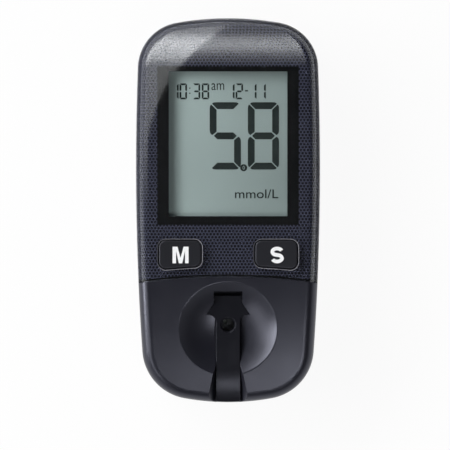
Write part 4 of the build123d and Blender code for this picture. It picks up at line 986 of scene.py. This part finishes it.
class METER_OT_stage(bpy.types.Operator):
    """Set the floor, the pale room, the soft lights, the glowing cards and the camera"""

    bl_idname = "meter.stage"
    bl_label = "Stage"

    def execute(self, context):
        look = context.scene.meter_stage
        self.floor()
        self.world(context.scene, look.surround)
        face = top_of("faceplate")
        stand = face / 2 + look.distance
        self.cards(look, face, (stand - face) / 2)
        key = self.soft_light("key_left", *KEY_PLACE_SIZE, look.key)
        side = self.soft_light("side_left", *SIDE_PLACE_SIZE, look.side)
        self.spare("faceplate", key, side)
        self.soft_light("fill_near", *FILL_PLACE_SIZE, look.fill)
        camera = bpy.data.cameras.new("camera")
        camera.sensor_width = 36.0
        camera.lens = camera.sensor_width * look.distance / look.field
        camera.clip_start, camera.clip_end = 0.01, 20.0
        context.scene.camera = add_object("camera", camera)
        context.scene.camera.location = (look.aim_x, look.aim_y, stand)
        context.scene.view_settings.view_transform = "Standard"
        return {"FINISHED"}

    def floor(self):
        """A wide white floor that keeps a little of the shadow under the meter."""
        material = bpy.data.materials.new("floor_white")
        net = bare_net(material)
        path = net.node("ShaderNodeLightPath").outputs
        seen = net.math("MAXIMUM", path["Is Camera Ray"], path["Is Glossy Ray"])
        seen = net.math("MAXIMUM", seen, path["Is Transmission Ray"])
        paper = net.node("ShaderNodeBsdfDiffuse", {"Color": (0.86, 0.86, 0.86)}).outputs[0]
        white = net.node("ShaderNodeEmission", {"Color": WHITE, "Strength": 1.0}).outputs[0]
        mixed = net.node("ShaderNodeMixShader", {0: net.times(seen, 0.93), 1: paper, 2: white})
        net.node("ShaderNodeOutputMaterial", {"Surface": mixed.outputs[0]})
        half = 4.0
        corners = [(-half, -half, 0), (half, -half, 0), (half, half, 0), (-half, half, 0)]
        mesh_object("floor", corners, [[0, 1, 2, 3]], material)

    def world(self, scene, strength):
        """White where the camera sees it; a pale horizon under a dim ceiling for everything else."""
        world = bpy.data.worlds.new("room")
        net = bare_net(world)
        direction = net.node("ShaderNodeTexCoord").outputs["Generated"]
        x, y, z = net.split(direction)
        shade = net.blend(net.ramp(z, 0.04, 0.62), (1.0, 1.0, 1.02), (0.03, 0.03, 0.032))
        room = net.node("ShaderNodeBackground", {"Color": shade, "Strength": strength}).outputs[0]
        white = net.node("ShaderNodeBackground", {"Color": WHITE, "Strength": 1.0}).outputs[0]
        path = net.node("ShaderNodeLightPath").outputs
        mixed = net.node("ShaderNodeMixShader", {0: path["Is Camera Ray"], 1: room, 2: white})
        net.node("ShaderNodeOutputWorld", {"Surface": mixed.outputs[0]})
        scene.world = world

    def soft_light(self, name, place, size, power):
        """A rectangular light that faces the meter."""
        light = bpy.data.lights.new(name, "AREA")
        light.shape = "RECTANGLE"
        light.size, light.size_y = size
        light.energy = power
        obj = add_object(name, light)
        obj.location = place
        obj.rotation_mode = "QUATERNION"
        obj.rotation_quaternion = obj.location.to_track_quat("Z", "Y")
        obj.visible_camera = False
        return obj

    def spare(self, node, *lights):
        """Keeps lights off a node, so that its rolled edges don't mirror them as bright lines."""
        spared = bpy.data.collections.new("spared")
        spared.objects.link(NODES[node])
        spared.collection_objects[0].light_linking.link_state = "EXCLUDE"
        for light in lights:
            light.light_linking.receiver_collection = spared

    def cards(self, look, face, height):
        """Two glowing cards that the faceplate and the film mirror, hung halfway up to the camera,
        where a point of the front is mirrored at that point times one and a half, less half of the
        point under the camera. The far one glows over the display end, so that the rolled end shows
        a soft bar. The left one is cut along a curve, so that the front shows a curved edge. That
        curve is (1-t)^3 a + 3t(1-t)^2 b + 3t^2(1-t) c + t^3 d, through control points a to d."""
        mirrors = bpy.data.collections.new("mirrors")
        for name in ("faceplate", "decor_film"):
            mirrors.objects.link(NODES[name])
        a, b, c, d = GLARE_EDGE
        t = np.linspace(0, 1, 24)[:, None]
        edge = (1 - t) ** 3 * a + 3 * t * (1 - t) ** 2 * b + 3 * t**2 * (1 - t) * c + t**3 * d
        mirrored = edge * 1.5 - np.array([look.aim_x, look.aim_y]) / 2
        corner = (CARD_LEFT_REST[-1][0], mirrored[0, 1])
        left = np.vstack([mirrored, CARD_LEFT_REST, corner])
        self.card("card_far", np.array(CARD_FAR), face + height, 0.0, mirrors)
        self.card("card_left", left, face + height - 0.001, 1.0, mirrors)

    def card(self, name, outline, level, share, mirrors):
        """A flat emitter that only the mirrors reflect: it is unseen, casts no shadow and lights
        nothing. Along y, in metres, its glow swells to a bar and falls off. share is how much it
        has of the left glow, a straight slope and a further rise."""
        material = bpy.data.materials.new(name + "_glow")
        net = bare_net(material)
        x, y, z = net.split(net.place())
        bar = net.add(net.ramp(y, 0.14, 0.42, 0.0, 2.55), net.ramp(y, 0.06, 0.16, 0.0, 0.5))
        bar = net.times(bar, net.ramp(y, 0.42, 0.78, 1.0, 0.22))
        slope = net.ramp(y, -0.004, 0.05, 0.0, 1.45, smooth=False)
        left = net.add(slope, net.ramp(y, 0.06, 0.20, 0.0, 2.1))
        left = net.times(left, net.ramp(y, 0.42, 0.9, share, 0.42 * share))
        light = net.node("ShaderNodeEmission", {"Color": WHITE, "Strength": net.add(bar, left)})
        net.node("ShaderNodeOutputMaterial", {"Surface": light.outputs[0]})
        made = mesh_object(name, at_level(outline, level), [list(range(len(outline)))], material)
        made.visible_camera = False
        made.visible_diffuse = False
        made.visible_shadow = False
        made.light_linking.receiver_collection = mirrors


# ======== panel and run
class METER_PT_panel(bpy.types.Panel):
    """Lists the settings and the steps"""

    bl_label = "Glucose meter"
    bl_idname = "METER_PT_panel"
    bl_space_type = "VIEW_3D"
    bl_region_type = "UI"
    bl_category = "Meter"

    def draw(self, context):
        for key, group in SETTINGS.items():
            box = self.layout.box()
            for name in group.__annotations__:
                box.prop(getattr(context.scene, key), name)
        for step in STEPS:
            self.layout.operator(step.bl_idname)


STEPS = (
    METER_OT_case,
    METER_OT_front,
    METER_OT_display,
    METER_OT_buttons,
    METER_OT_optics,
    METER_OT_board,
    METER_OT_power,
    METER_OT_label,
    METER_OT_stage,
)
CLASSES = (*SETTINGS.values(), *STEPS, METER_PT_panel)


def register():
    for cls in CLASSES:
        bpy.utils.register_class(cls)
    for key, group in SETTINGS.items():
        setattr(bpy.types.Scene, key, bpy.props.PointerProperty(type=group))


def unregister():
    for key in SETTINGS:
        delattr(bpy.types.Scene, key)
    for cls in reversed(CLASSES):
        bpy.utils.unregister_class(cls)


def main():
    register()
    for step in STEPS:
        area, name = step.bl_idname.split(".")
        getattr(getattr(bpy.ops, area), name)()


if __name__ == "__main__":
    main()
